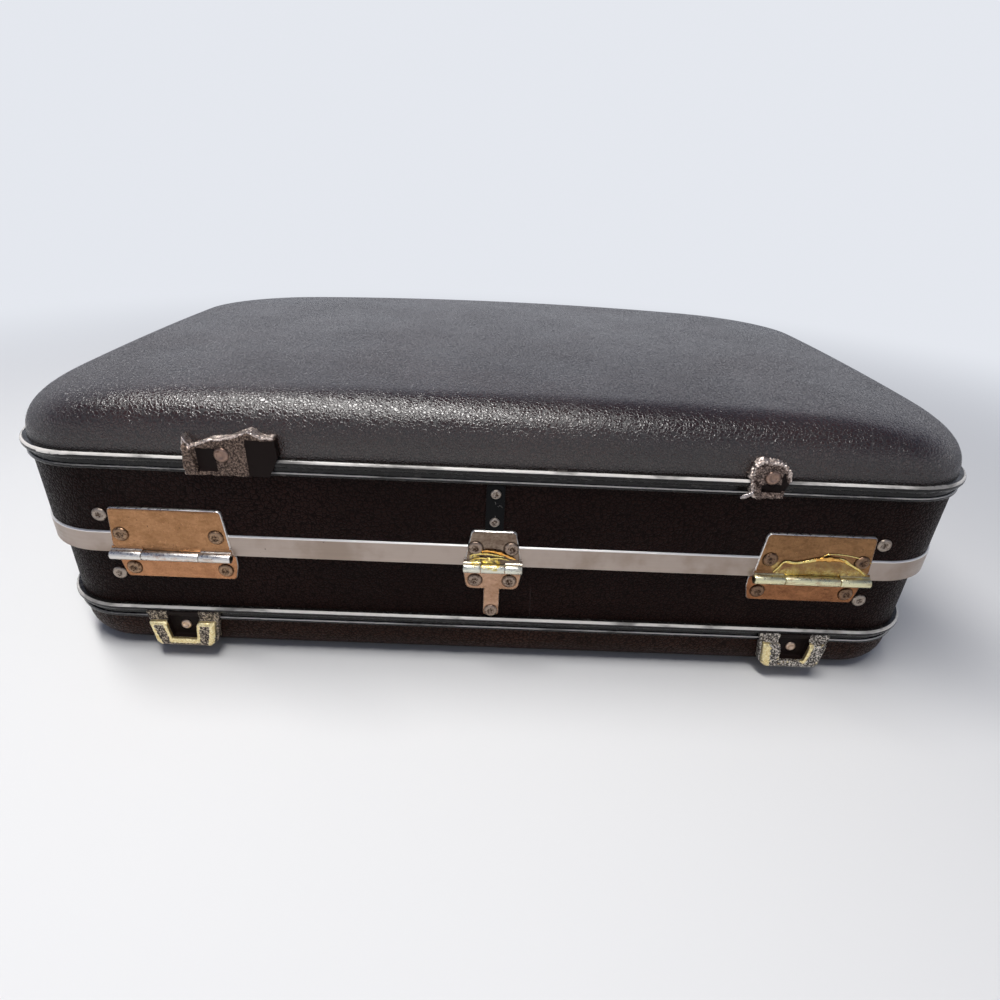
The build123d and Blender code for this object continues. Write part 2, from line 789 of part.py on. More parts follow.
def make_hasp(side):
    """Drop plate with its knuckle, a finger lip and the eyed lug that the bolt goes through."""
    shoulder = hasp_axis_z - hasp_knuckle_radius - hasp_gap
    front = hasp_back + hasp_thickness
    hasp = block(-hasp_half, hasp_half, hasp_back, front, hasp_low_z, shoulder)
    hasp = fillet(hasp.edges().filter_by(Axis.Y), hasp_corner)
    middle = hasp_knuckle_half - knuckle_gap
    hasp += block(-middle, middle, hasp_back, front, shoulder - 3, hasp_axis_z)
    hasp += rod_x(-middle, middle, hasp_y, hasp_axis_z, hasp_knuckle_radius)
    hasp -= rod_x(-hasp_half, hasp_half, hasp_y, hasp_axis_z, hasp_pin_radius + shaft_clearance)
    lip_half = hasp_half - hasp_corner
    lip_top = hasp_low_z + hasp_thickness
    hasp += block(-lip_half, lip_half, hasp_back, front + hasp_lip, hasp_low_z, lip_top)
    hasp += block(-lug_half, lug_half, lug_back, hasp_back, lug_low_z, lug_low_z + lug_height)
    room = bolt_size / 2 + eye_gap
    hasp -= block(
        -lug_half - 1, lug_half + 1, bolt_y - room, bolt_y + room, bolt_z - room, bolt_z + room
    )
    return place_latch(hasp, side, [])


def make_hasp_bracket(side):
    low = band_top + fit_gap
    face = lid_front + hasp_bracket_plate
    bracket = block(-hasp_bracket_half, hasp_bracket_half, lid_front, face, low, hasp_bracket_top_z)
    bracket = fillet(bracket.edges().filter_by(Axis.Y).group_by(Axis.Z)[-1], hasp_bracket_corner)
    for low_x, high_x in ((-hasp_half, -hasp_knuckle_half), (hasp_knuckle_half, hasp_half)):
        bracket += rod_x(low_x, high_x, hasp_y, hasp_axis_z, hasp_knuckle_radius)
        bracket += block(
            low_x, high_x, lid_front, hasp_y,
            hasp_axis_z - hasp_knuckle_radius, hasp_axis_z + hasp_knuckle_radius,
        )
    bore = hasp_pin_radius + shaft_clearance
    bracket -= rod_x(-hasp_half - 1, hasp_half + 1, hasp_y, hasp_axis_z, bore)
    bracket = Pos(side * latch_x, 0, 0) * bracket
    return drill(bracket, hasp_rivets, lid_front - 1, face + 1)


def make_hasp_pin(side):
    x = side * latch_x
    return rod_x(x - hasp_half, x + hasp_half, hasp_y, hasp_axis_z, hasp_pin_radius)


# Lining, pocket and packing straps
def make_lid_lining():
    offset = -wall_thickness - ledge_reach - soft_gap
    low = parting_z + tongue_rise + fit_gap + ledge_height + soft_gap
    skin = panel_thickness + lining_floor_gap
    outer = lid_dome(offset, low, case_top - skin, lid_edge_radius - skin, crown_sphere - skin)
    skin += lining_thickness
    inner = lid_dome(
        offset - lining_thickness, low, case_top - skin, lid_edge_radius - skin, crown_sphere - skin
    )
    return outer - inner


def make_base_lining():
    offset = -base_inset - wall_thickness - rim_lap_thickness - soft_gap
    top = base_wall_top
    skin = panel_thickness + lining_floor_gap
    outer = base_dome(offset, skin, top, base_edge_radius - skin)
    skin += lining_thickness
    inner = base_dome(offset - lining_thickness, skin, top, base_edge_radius - skin)
    return outer - inner


def make_pocket():
    """A flat pocket under the top of the lid, curved with its crown."""
    skin = panel_thickness + lining_floor_gap + lining_thickness + soft_gap
    centre_z = case_top - crown_sphere
    low_z = case_top - skin - lid_crown - pocket_thickness
    body = block(-pocket_half_x, pocket_half_x, -pocket_half_y, pocket_half_y, low_z, case_top)
    body = fillet(body.edges().filter_by(Axis.Z), pocket_corner)
    body &= Pos(0, 0, centre_z) * Sphere(crown_sphere - skin)
    return body - Pos(0, 0, centre_z) * Sphere(crown_sphere - skin - pocket_thickness)


strap_floor = panel_thickness + lining_floor_gap + lining_thickness + soft_gap


def make_packing_strap(side):
    x = side * packing_strap_x
    half_y = packing_strap_half_length
    return block(
        x - strap_half_width, x + strap_half_width, -half_y, half_y,
        strap_floor, strap_floor + webbing_thickness,
    )


def make_buckle(side):
    x = side * packing_strap_x
    low = strap_floor + webbing_thickness + soft_gap
    high = low + buckle_thickness
    half_y = buckle_length / 2
    frame = block(x - buckle_half, x + buckle_half, buckle_y - half_y, buckle_y + half_y, low, high)
    frame = fillet(frame.edges().filter_by(Axis.Z), buckle_frame)
    inner_y = half_y - buckle_frame
    bar = buckle_frame / 2
    for low_y, high_y in ((-inner_y, -bar), (bar, inner_y)):
        frame -= block(
            x - buckle_half + buckle_frame, x + buckle_half - buckle_frame,
            buckle_y + low_y, buckle_y + high_y, low - 1, high + 1,
        )
    return frame


# Rivet groups
def rivet_set(places, head_y, end_y, facing, head):
    return [wall_rivet(x, z, head_y, end_y, facing, head) for x, z in places]


def make_strap():
    x = centre_hinge_x
    strap = block(x - strap_half, x + strap_half, lid_back - strap_thickness, lid_back, strap_low, strap_top)
    strap = fillet(strap.edges().filter_by(Axis.Y).group_by(Axis.Z)[-1], strap_corner)
    return drill(strap, strap_rivets, lid_back - strap_thickness - 1, lid_back + 1)


lid_end = inner_back - rivet_end_gap
base_end = inner_base_back - rivet_end_gap
front_end = base_front - wall_thickness + rivet_end_gap
lid_front_end = lid_front - wall_thickness + rivet_end_gap

large_head = (rivet_head_radius, rivet_head_height)
small_head = (foot_rivet_radius, foot_rivet_height)
strap_head = (strap_rivet_radius, foot_rivet_height)
broken_head = (broken_rivet_radius, foot_rivet_height)
bracket_head = (bracket_rivet_radius, small_head_height)
lock_head = (lock_rivet_radius, small_head_height)
small_lid_rivets = rivet_set(strap_rivets, lid_back - strap_thickness, lid_end, -1, strap_head)
panel_end = lid_back + panel_thickness - rivet_end_gap
small_lid_rivets += rivet_set(broken_rivets, broken_floor, panel_end, -1, broken_head)
foot_floor = base_back - foot_floor_reach
foot_rivet_end = base_back + panel_thickness - rivet_end_gap
foot_rivet_group = rivet_set(foot_rivets, foot_floor, foot_rivet_end, -1, small_head)
handle_rivets = rivet_set(bracket_rivets, base_front + bracket_plate, front_end, 1, bracket_head)
lock_rivet_group = rivet_set(lock_rivets, lock_face, front_end, 1, lock_head)
hasp_face = lid_front + hasp_bracket_plate
hasp_rivet_group = rivet_set(hasp_rivets, hasp_face, lid_front_end, 1, lock_head)


def lid_rivet_set(hinge):
    """The large rivets of the lid at one hinge, with the loose one beside it."""
    rivets = rivet_set(hinge.lid_rivets, leaf_face, lid_end, -1, large_head)
    return rivets + rivet_set(hinge.loose_lid_rivets, lid_back, lid_end, -1, large_head)


def base_rivet_set(hinge):
    rivets = rivet_set(hinge.base_rivets, low_leaf_face, base_end, -1, large_head)
    return rivets + rivet_set(hinge.loose_base_rivets, base_back, base_end, -1, large_head)


def group(shapes):
    return Compound(children=[solid for shape in shapes for solid in shape.solids()])


# Files
save(make_lid_panel(), "lid_panel", BLACK)
save(make_lid_welt(), "lid_welt", GREY)
save(make_lid_wall(), "lid_wall", BLACK)
save(make_lid_band(), "lid_band", SILVER)
save(make_lid_lining(), "lid_lining", CLOTH)
save(make_pocket(), "lid_pocket", CLOTH)
save(make_base_panel(), "base_panel", BLACK)
save(welt(-base_inset, base_rim, base_nip_low), "base_welt", GREY)
save(make_base_wall(), "base_wall", BLACK)
save(make_base_frame(), "base_frame", SILVER)
save(make_base_lining(), "base_lining", CLOTH)
for hinge in hinges:
    save(lid_leaf(hinge), f"{hinge.name}_lid_leaf", BRASS)
    save(base_leaf(hinge), f"{hinge.name}_base_leaf", BRASS)
    save(hinge_pin(hinge), f"{hinge.name}_pin", SILVER)
    place_name = hinge.name.removeprefix("hinge_")
    save(group(lid_rivet_set(hinge)), f"lid_rivets_{place_name}", SILVER)
    save(group(base_rivet_set(hinge)), f"base_rivets_{place_name}", SILVER)
save(make_strap(), "lid_strap", BLACK)
filled_lid = lid_core()
save(make_broken_foot(left_stub, left_ridge, -broken_foot_x, filled_lid), "lid_foot_left", BRASS)
save(make_broken_foot(right_stub, right_ridge, broken_foot_x, filled_lid), "lid_foot_right", BRASS)
save(group(small_lid_rivets), "lid_small_rivets", SILVER)
save(group(foot_rivet_group), "foot_rivets", SILVER)
save(make_handle_grip(), "handle_grip", BLACK)
save(group(handle_rivets), "handle_rivets", SILVER)
save(group(lock_rivet_group), "lock_rivets", SILVER)
save(group(hasp_rivet_group), "hasp_rivets", SILVER)
for name, side in (("left", -1), ("right", 1)):
    save(make_foot(side), f"base_foot_{name}", BRASS)
    save(make_bracket(side), f"handle_bracket_{name}", SILVER)
    save(make_handle_pin(side), f"handle_pin_{name}", SILVER)
    save(make_handle_arm(side), f"handle_arm_{name}", SILVER)
    save(make_lock_box(side), f"lock_box_{name}", SILVER)
    save(make_slide(side), f"lock_slide_{name}", SILVER)
    save(make_key_plug(side), f"key_plug_{name}", BRASS)
    save(make_hasp(side), f"hasp_{name}", SILVER)
    save(make_hasp_bracket(side), f"hasp_bracket_{name}", SILVER)
    save(make_hasp_pin(side), f"hasp_pin_{name}", SILVER)
    save(make_packing_strap(side), f"packing_strap_{name}", CLOTH)
    save(make_buckle(side), f"buckle_{name}", SILVER)
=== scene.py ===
import math

import bmesh
import bpy
from mathutils import Matrix, Vector, noise


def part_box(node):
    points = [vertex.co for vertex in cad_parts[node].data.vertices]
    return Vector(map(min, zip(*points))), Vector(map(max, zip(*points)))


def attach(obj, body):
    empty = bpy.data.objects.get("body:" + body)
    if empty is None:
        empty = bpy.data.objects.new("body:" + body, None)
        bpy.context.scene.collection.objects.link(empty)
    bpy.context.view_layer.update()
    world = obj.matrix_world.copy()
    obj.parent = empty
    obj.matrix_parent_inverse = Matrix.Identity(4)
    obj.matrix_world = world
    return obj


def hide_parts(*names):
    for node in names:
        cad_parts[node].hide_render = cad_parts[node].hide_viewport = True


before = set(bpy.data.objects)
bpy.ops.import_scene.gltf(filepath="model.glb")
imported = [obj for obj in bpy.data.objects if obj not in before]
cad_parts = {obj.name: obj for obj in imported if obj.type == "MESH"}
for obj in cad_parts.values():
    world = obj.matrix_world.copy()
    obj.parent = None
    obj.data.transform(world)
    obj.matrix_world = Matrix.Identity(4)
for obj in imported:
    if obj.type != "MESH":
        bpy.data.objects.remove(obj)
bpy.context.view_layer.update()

MM = 0.001

# Places that come from the frame
wall_low, wall_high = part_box("lid_wall")
band_low, band_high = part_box("lid_band")
parting_z = band_low.z
lid_back = wall_low.y
base_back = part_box("base_wall")[0].y

# Sizes that several pieces share
wall_corner = 43.0 * MM
soft_corner = 100.0 * MM
lid_crown = 11.0 * MM
quarter_turn = math.pi / 2


# Node materials: every pattern reads the object's own coordinates
class Tree:
    """A tree of shader nodes, whose values are numbers, colours and outputs of other nodes."""

    def __init__(self, owner):
        owner.use_nodes = True
        self.nodes = owner.node_tree.nodes
        self.links = owner.node_tree.links

    def feed(self, socket, value):
        if isinstance(value, bpy.types.NodeSocket):
            self.links.new(value, socket)
        else:
            socket.default_value = (*value, 1) if socket.type == "RGBA" else value

    def node(self, kind, inputs, **settings):
        made = self.nodes.new("ShaderNode" + kind)
        for key, value in settings.items():
            setattr(made, key, value)
        for key, value in inputs.items():
            self.feed(made.inputs[key], value)
        return made

    def maths(self, operation, *values):
        return self.node("Math", dict(enumerate(values)), operation=operation).outputs[0]

    def times(self, first, *others):
        for other in others:
            first = self.maths("MULTIPLY", first, other)
        return first

    def ramp(self, value, start, stop, low=0.0, high=1.0):
        """Smooth step from low to high while the value goes from start to stop."""
        inputs = {"Value": value, "From Min": start, "From Max": stop, "To Min": low, "To Max": high}
        return self.node("MapRange", inputs, interpolation_type="SMOOTHSTEP").outputs[0]

    def mix(self, share, first, second):
        return self.node("Mix", {0: share, 6: first, 7: second}, data_type="RGBA").outputs[2]


class Finish(Tree):
    """A material, with patterns whose sizes are in metres."""

    def __init__(self, name, colour, roughness, metallic=0.0):
        self.material = bpy.data.materials.new(name)
        super().__init__(self.material)
        self.surface = self.nodes["Principled BSDF"]
        self.place = self.nodes.new("ShaderNodeTexCoord").outputs["Object"]
        self.set("Base Color", colour)
        self.set("Roughness", roughness)
        self.set("Metallic", metallic)

    def set(self, socket, value):
        self.feed(self.surface.inputs[socket], value)

    def noise(self, size, detail=2.0, rough=0.5, at=None):
        place = at or self.place
        inputs = {"Vector": place, "Scale": 1 / size, "Detail": detail, "Roughness": rough}
        return self.node("TexNoise", inputs)

    def grey(self, *cloud):
        """Cloudy noise from 0 to 1, given by its size, detail, roughness and place."""
        return self.noise(*cloud).outputs["Fac"]

    def patches(self, cloud, start, stop, low=0.0, high=1.0):
        """Cloudy noise, ramped."""
        return self.ramp(self.grey(*cloud), start, stop, low, high)

    def cells(self, size, feature="F1", at=None):
        inputs = {"Vector": at or self.place, "Scale": 1 / size}
        return self.node("TexVoronoi", inputs, feature=feature).outputs["Distance"]

    def warped(self, size, amount, at=None):
        """The place, pushed about by cloudy noise."""
        colour = self.noise(size, at=at).outputs["Color"]
        centred = self.node("VectorMath", {0: colour, 1: (0.5, 0.5, 0.5)}, operation="SUBTRACT")
        inputs = {0: centred.outputs[0], 1: (amount, amount, amount), 2: at or self.place}
        return self.node("VectorMath", inputs, operation="MULTIPLY_ADD").outputs[0]

    def stretched(self, factors, turn=(0, 0, 0)):
        inputs = {"Vector": self.place, "Scale": factors, "Rotation": turn}
        return self.node("Mapping", inputs).outputs[0]

    def axis(self, letter):
        return self.node("SeparateXYZ", {"Vector": self.place}).outputs[letter]

    def bump(self, *layers):
        """Stacks height layers, each with a depth in metres."""
        normal = None
        for height, depth in layers:
            inputs = {"Height": height, "Distance": depth, "Strength": 1.0}
            if normal is not None:
                inputs["Normal"] = normal
            normal = self.node("Bump", inputs).outputs[0]
        self.set("Normal", normal)

    def near(self, centres, radius, soft):
        """1 within a radius of any of the places given in X and Z, fading out over soft."""
        flat = self.node("VectorMath", {0: self.place, 1: (1, 0, 1)}, operation="MULTIPLY").outputs[0]
        result = 0.0
        for x, z in centres:
            inputs = {0: flat, 1: (x, 0, z)}
            gap = self.node("VectorMath", inputs, operation="DISTANCE").outputs["Value"]
            result = self.maths("MAXIMUM", result, self.ramp(gap, radius + soft, radius))
        return result


def scratches(finish, spacing, width, share, turn):
    """Thin broken lines in one main direction."""
    long_way = finish.stretched((1, 0.25, 0.25), turn)
    lines = finish.cells(spacing, "DISTANCE_TO_EDGE", finish.warped(spacing * 2, spacing * 0.6, long_way))
    thin = finish.ramp(lines, width / spacing, 0)
    return finish.times(thin, finish.patches((spacing * 0.8, 3), 1 - share, 1 - share + 0.05))


def pressed_leather(name, colour, grain, depth, roughness, marks, gloss=0.5):
    """Moulded shell with an embossed leather grain whose creases are darkened with painted shade, specks of
    dust and fine scratches.
    """
    finish = Finish(name, colour, roughness)
    warp = finish.warped(grain * 1.8, grain * 1.2)
    edge = finish.cells(grain, "DISTANCE_TO_EDGE", warp)
    pebbles = finish.ramp(edge, 0.0, 0.26)
    small = finish.ramp(finish.cells(grain * 0.48, "DISTANCE_TO_EDGE", warp), 0.0, 0.30)
    folds = finish.grey(grain * 3.0, 3, 0.6)
    fine = finish.grey(grain * 0.18, 2)
    finish.bump((folds, depth * 1.2), (pebbles, depth), (small, depth * 0.38), (fine, depth * 0.10))
    lighter = tuple(channel * 1.5 + 0.001 for channel in colour)
    darker = tuple(channel * 0.35 for channel in colour)
    base = finish.mix(finish.patches((0.09, 4, 0.6), 0.40, 0.72), colour, lighter)
    # Painted shade: the creases of the grain are darkened.
    base = finish.mix(finish.ramp(edge, 0.17, 0.02), base, darker)
    specks = finish.ramp(finish.cells(0.006), 0.055, 0.025)
    dust = finish.times(specks, finish.patches((0.03, 2), 0.62, 0.68), marks)
    lines = finish.times(scratches(finish, 0.070, 0.00028, 0.36, (0, 0, 0.35)), marks * 0.5)
    finish.set("Base Color", finish.mix(finish.maths("MAXIMUM", dust, lines), base, (0.26, 0.25, 0.25)))
    creased = finish.ramp(edge, 0.02, 0.16, roughness + 0.25, roughness)
    patchy = finish.patches((0.05, 3), 0.3, 0.7, -0.03, 0.06)
    finish.set("Roughness", finish.maths("ADD", creased, patchy))
    finish.set("Specular IOR Level", gloss)
    return finish.material


def welt_plastic():
    """Scuffed black plastic whose upward-facing crests are painted pale: a painted highlight mixed with
    rubbing wear.
    """
    finish = Finish("welt_plastic", (0.010, 0.0095, 0.009), 0.26)
    run = finish.stretched((1, 1, 4))
    scuffed = finish.patches((0.010, 4, 0.65, run), 0.56, 0.76)
    base = finish.mix(scuffed, (0.010, 0.0090, 0.0083), (0.060, 0.053, 0.047))
    # Painted highlight: crests that face upwards are painted pale, in ragged patches like rubbing wear.
    facing = finish.node("NewGeometry", {}).outputs["Normal"]
    upward = finish.node("SeparateXYZ", {"Vector": facing}).outputs["Z"]
    lit_crest = finish.times(finish.ramp(upward, 0.24, 0.42), finish.ramp(upward, 0.995, 0.93))
    rubbed_and_highlight = finish.times(lit_crest, finish.patches((0.045, 4, 0.6, run), 0.36, 0.52, 0.30, 1.0))
    finish.set("Base Color", finish.mix(rubbed_and_highlight, base, (0.66, 0.63, 0.60)))
    finish.set("Roughness", finish.patches((0.005, 3, 0.6, run), 0.3, 0.75, 0.16, 0.34))
    finish.bump((finish.grey(0.004, 3), 0.00016), (finish.grey(0.0009, 2), 0.00003))
    finish.set("Specular IOR Level", 0.28)
    return finish.material


def satin_aluminium():
    """The closing band: drawn lengthwise, stained and nicked, with a painted highlight along its top."""
    finish = Finish("satin_aluminium", (0.38, 0.335, 0.30), 0.33, 0.95)
    lines = finish.grey(1.0, 3, 0.6, finish.stretched((6, 6, 1800)))
    stains = finish.patches((0.03, 4, 0.62), 0.42, 0.70)
    pits = finish.ramp(finish.cells(0.006), 0.10, 0.05)
    nicks = finish.times(pits, finish.patches((0.02, 2), 0.58, 0.62))
    base = finish.mix(stains, (0.41, 0.34, 0.295), (0.31, 0.245, 0.20))
    # Painted highlight: a bright line along the top of the band.
    top_highlight = finish.ramp(finish.axis("Z"), band_high.z - 1.3 * MM, band_high.z - 0.7 * MM)
    base = finish.mix(top_highlight, base, (0.78, 0.76, 0.74))
    finish.set("Base Color", finish.mix(nicks, base, (0.13, 0.11, 0.10)))
    finish.set("Roughness", finish.ramp(lines, 0.3, 0.7, 0.30, 0.46))
    finish.bump((lines, 0.000012), (finish.maths("SUBTRACT", 1.0, nicks), 0.00015))
    finish.set("Anisotropic", 0.4)
    return finish.material


def plated(name, face_y, metal, tarnish, barrel, gold_mask, shaded_rivets):
    """Plated steel: a tarnished face, silvery rolled edges, a brighter barrel, rests of gold plating and
    painted shade round the rivet heads.
    """
    finish = Finish(name, metal, 0.3, 1.0)
    cloud = finish.patches((0.016, 3, 0.55), 0.38, 0.66)
    speckle = finish.patches((0.0016, 4, 0.65), 0.40, 0.66)
    drawn = finish.patches((0.0042, 5, 0.72, finish.stretched((0.4, 1, 1))), 0.42, 0.60)
    clouded = finish.maths("MULTIPLY_ADD", drawn, 0.45, finish.times(cloud, 0.30))
    base = finish.mix(finish.maths("MULTIPLY_ADD", speckle, 0.35, clouded), metal, tarnish)
    pits = finish.ramp(finish.cells(0.0023), 0.17, 0.05)
    rust = finish.times(pits, finish.patches((0.007, 2), 0.52, 0.62))
    crinkle = finish.grey(0.0016, 4, 0.7)
    depth = finish.axis("Y")
    worn = finish.maths("MULTIPLY_ADD", finish.grey(0.003, 3), 0.2 * MM, depth)
    rolled_edge = finish.ramp(worn, face_y + 0.36 * MM, face_y + 0.60 * MM)
    on_barrel = finish.ramp(depth, face_y - 0.35 * MM, face_y - 0.85 * MM)
    scuffed = finish.patches((0.0030, 4, 0.7, finish.stretched((0.3, 1, 1))), 0.52, 0.66, 0.0, 0.45)
    base = finish.mix(rolled_edge, base, (0.88, 0.86, 0.83))
    base = finish.mix(on_barrel, base, finish.mix(scuffed, barrel, metal))
    layers = [(finish.grey(0.010, 2), 0.00010), (drawn, 0.00005), (crinkle, 0.00003)]
    if gold_mask:
        gold = gold_mask(finish)
        leaf = finish.mix(finish.ramp(crinkle, 0.35, 0.65), (0.60, 0.42, 0.10), (0.88, 0.76, 0.32))
        base = finish.mix(gold, base, leaf)
        layers.append((gold, 0.00008))
    base = finish.mix(rust, base, (0.07, 0.035, 0.02))
    # Painted shade: a dark ragged ring round each rivet head.
    ragged = finish.patches((0.0012, 3, 0.6), 0.3, 0.6, 0.45, 1.0)
    rim = finish.times(finish.near(shaded_rivets, 0.0041, 0.0008), ragged)
    finish.set("Base Color", finish.mix(rim, base, (0.035, 0.02, 0.013)))
    finish.set("Roughness", finish.patches((0.002, 4, 0.7), 0.3, 0.7, 0.24, 0.42))
    layers.append((finish.maths("SUBTRACT", 1.0, rust), 0.0002))
    finish.bump(*layers)
    return finish.material


def rivet_metal(name, colour, dark, share, centres=(), core=0.0):
    """Rivet heads: pitted metal, with the dished middles at the centres darkened by dirt and painted shade.
    """
    finish = Finish(name, colour, 0.38, 1.0)
    spots = finish.patches((0.0016, 5, 0.7), 0.62 - share, 0.76 - share)
    base = finish.mix(spots, colour, dark)
    if centres:
        # Painted shade and dirt: the dished middle of each head is darkened.
        ragged = finish.patches((0.0010, 3, 0.6), 0.35, 0.60)
        middle = finish.times(finish.near(centres, core, core * 0.5), ragged)
        base = finish.mix(middle, base, (0.045, 0.025, 0.016))
    finish.set("Base Color", base)
    finish.set("Roughness", finish.ramp(spots, 0, 1, 0.28, 0.60))
    finish.bump((finish.grey(0.0011, 4, 0.7), 0.00025))
    return finish.material


def cast_foot(name, dark, light, contrast, bare):
    """Die-cast foot: speckled, bare where the mesh is marked above 0, and below 0 smooth and darkened with
    painted shade.
    """
    finish = Finish(name, dark, 0.5, 0.85)
    grain = finish.grey(0.0011, 5, 0.75)
    casting = finish.mix(finish.ramp(grain, 0.53 - contrast, 0.53 + contrast), dark, light)
    marked = finish.node("Attribute", {}, attribute_name="bare").outputs["Fac"]
    ragged = finish.maths("MULTIPLY_ADD", finish.grey(0.0020, 4, 0.75), 2.0, -1.0)
    shown = finish.ramp(finish.maths("ADD", marked, ragged), 0.42, 0.58)
    plating = finish.mix(finish.ramp(grain, 0.35, 0.65), *bare)
    # Painted shade: where the mesh is marked below 0 the casting is darkened and made smooth.
    painted_shade = finish.ramp(finish.maths("ADD", marked, finish.times(ragged, 0.5)), -0.30, -0.60)
    casting = finish.mix(painted_shade, casting, (0.010, 0.0055, 0.0045))
    finish.set("Base Color", finish.mix(shown, casting, plating))
    finish.set("Roughness", finish.ramp(shown, 0, 1, 0.50, 0.30))
    metal = finish.ramp(shown, 0, 1, 0.6, 0.95)
    finish.set("Metallic", finish.maths("SUBTRACT", metal, finish.times(painted_shade, 0.6)))
    finish.set("Specular IOR Level", finish.ramp(painted_shade, 0, 1, 0.5, 0.10))
    finish.bump((grain, finish.ramp(painted_shade, 0, 1, 0.00028, 0.00006)))
    return finish.material


def painted_strap():
    finish = Finish("painted_strap", (0.004, 0.004, 0.0045), 0.30)
    chips = finish.patches((0.003, 5, 0.7), 0.66, 0.70)
    finish.set("Base Color", finish.mix(chips, (0.004, 0.004, 0.0045), (0.33, 0.31, 0.29)))
    finish.bump((finish.grey(0.004, 3), 0.0001))
    finish.set("Specular IOR Level", 0.08)
    return finish.material


def brushed(name, colour, dark, roughness):
    """Plated metal, brushed along X, with handling marks."""
    finish = Finish(name, colour, roughness, 1.0)
    lines = finish.grey(1.0, 3, 0.6, finish.stretched((9, 1500, 1500)))
    finish.set("Base Color", finish.mix(finish.patches((0.010, 5, 0.66), 0.46, 0.72), colour, dark))
    finish.set("Roughness", finish.ramp(lines, 0.3, 0.7, roughness - 0.06, roughness + 0.10))
    finish.bump((lines, 0.00001), (finish.grey(0.008, 2), 0.00008))
    return finish.material


def plain_steel():
    finish = Finish("pin_steel", (0.34, 0.30, 0.26), 0.36, 1.0)
    spots = finish.patches((0.002, 5, 0.7), 0.50, 0.66)
    finish.set("Base Color", finish.mix(spots, (0.42, 0.39, 0.35), (0.13, 0.07, 0.04)))
    finish.bump((finish.grey(0.001, 3), 0.0001))
    return finish.material


def foil(name, low, high):
    """Crinkled foil: painted darker in its folds than on them, as painted shade."""
    finish = Finish(name, high, 0.26, 1.0)
    crinkle = finish.grey(0.0012, 4, 0.7)
    finish.set("Base Color", finish.mix(finish.ramp(crinkle, 0.35, 0.62), low, high))
    finish.bump((crinkle, 0.00012))
    return finish.material


def woven(name, colour, thread):
    """Plain weave: threads run along X and Y on flat places, and along Z on the walls."""
    finish = Finish(name, colour, 0.75)
    x, y, z = (
        finish.maths("SINE", finish.times(finish.axis(letter), math.tau / thread)) for letter in "XYZ"
    )
    height = finish.ramp(finish.times(finish.maths("ADD", x, z), y), -1.2, 1.2)
    darker = tuple(channel * 0.72 for channel in colour)
    base = finish.mix(finish.patches((0.05, 3), 0.3, 0.7), colour, darker)
    # Painted shade: the hollows between the threads are painted darker.
    finish.set("Base Color", finish.mix(finish.ramp(height, 0.4, 0.0), base, darker))
    finish.bump((finish.grey(0.006, 3), 0.0004), (height, thread * 0.25))
    finish.set("Sheen Weight", 0.35)
    finish.set("Sheen Roughness", 0.4)
    return finish.material


# Meshes that the scene makes itself
def arc(first, last, steps):
    """The cosine and sine of evenly spaced angles, both ends included."""
    angles = [first + (last - first) * step / steps for step in range(steps + 1)]
    return [(math.cos(angle), math.sin(angle)) for angle in angles]


def circle(sides):
    return arc(0, math.tau, sides)[:-1]


def add_object(name, data):
    made = bpy.data.objects.new(name, data)
    bpy.context.scene.collection.objects.link(made)
    return made


class Piece:
    """Collects the points and faces of one piece."""

    def __init__(self, name):
        self.name = name
        self.points = []
        self.faces = []

    def skin(self, rings):
        """Joins rings of as many points each with bands of quads, and closes both ends."""
        count = len(rings[0])
        start = len(self.points)
        end = start + (len(rings) - 1) * count
        for ring in rings:
            self.points.extend(ring)
        for row in range(start, end, count):
            for step in range(count):
                here, there = row + step, row + (step + 1) % count
                self.faces.append((here, there, there + count, here + count))
        self.faces.append(tuple(range(start + count - 1, start - 1, -1)))
        self.faces.append(tuple(range(end, end + count)))

    def make(self, material, body, replaces=(), smooth_angle=50.0):
        mesh = bpy.data.meshes.new(self.name)
        mesh.from_pydata([tuple(point) for point in self.points], [], self.faces)
        work = bmesh.new()
        work.from_mesh(mesh)
        bmesh.ops.recalc_face_normals(work, faces=work.faces)
        work.to_mesh(mesh)
        work.free()
        return dress(add_object(self.name, mesh), material, body, replaces, smooth_angle)


def dress(piece, material, body, replaces, smooth_angle):
    """Gives a piece its material, shading and body, and hides the nodes that it replaces."""
    piece.data.materials.clear()
    piece.data.materials.append(material)
    for polygon in piece.data.polygons:
        polygon.use_smooth = True
    piece.data.set_sharp_from_angle(angle=math.radians(smooth_angle))
    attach(piece, body)
    if replaces:
        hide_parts(*replaces)
    return piece


def rounded_outline(corners, radius, inset):
    """A convex outline in X and Z with round corners, moved inwards; it always has as many points."""
    lines = []
    for start, stop in zip(corners, corners[1:] + corners[:1]):
        along = (Vector(stop) - Vector(start)).normalized()
        inward = Vector((-along.y, along.x))
        lines.append((Vector(start) + inward * inset, along, inward))
    outline = []
    keep = max(radius - inset, 0.02 * MM)
    for index, (place, along, _) in enumerate(lines):
        last_place, last_along, last_inward = lines[index - 1]
        corner = (place - last_place).cross(along) / last_along.cross(along)
        turn = last_along.angle(along)
        centre = last_place + last_along * (corner - keep * math.tan(turn / 2)) + last_inward * keep
        first = math.atan2(-last_inward.y, -last_inward.x)
        for cos, sin in arc(first, first + turn, 6):
            outline.append(centre + Vector((cos, sin)) * keep)
    return outline


def mirrored(x, rows):
    """The corners of a plate that is the same left and right of x, from its half width at each height."""
    right = [(x + half, z) for half, z in rows]
    left = [(x - half, z) for half, z in rows]
    return left[:1] + right + left[:0:-1]


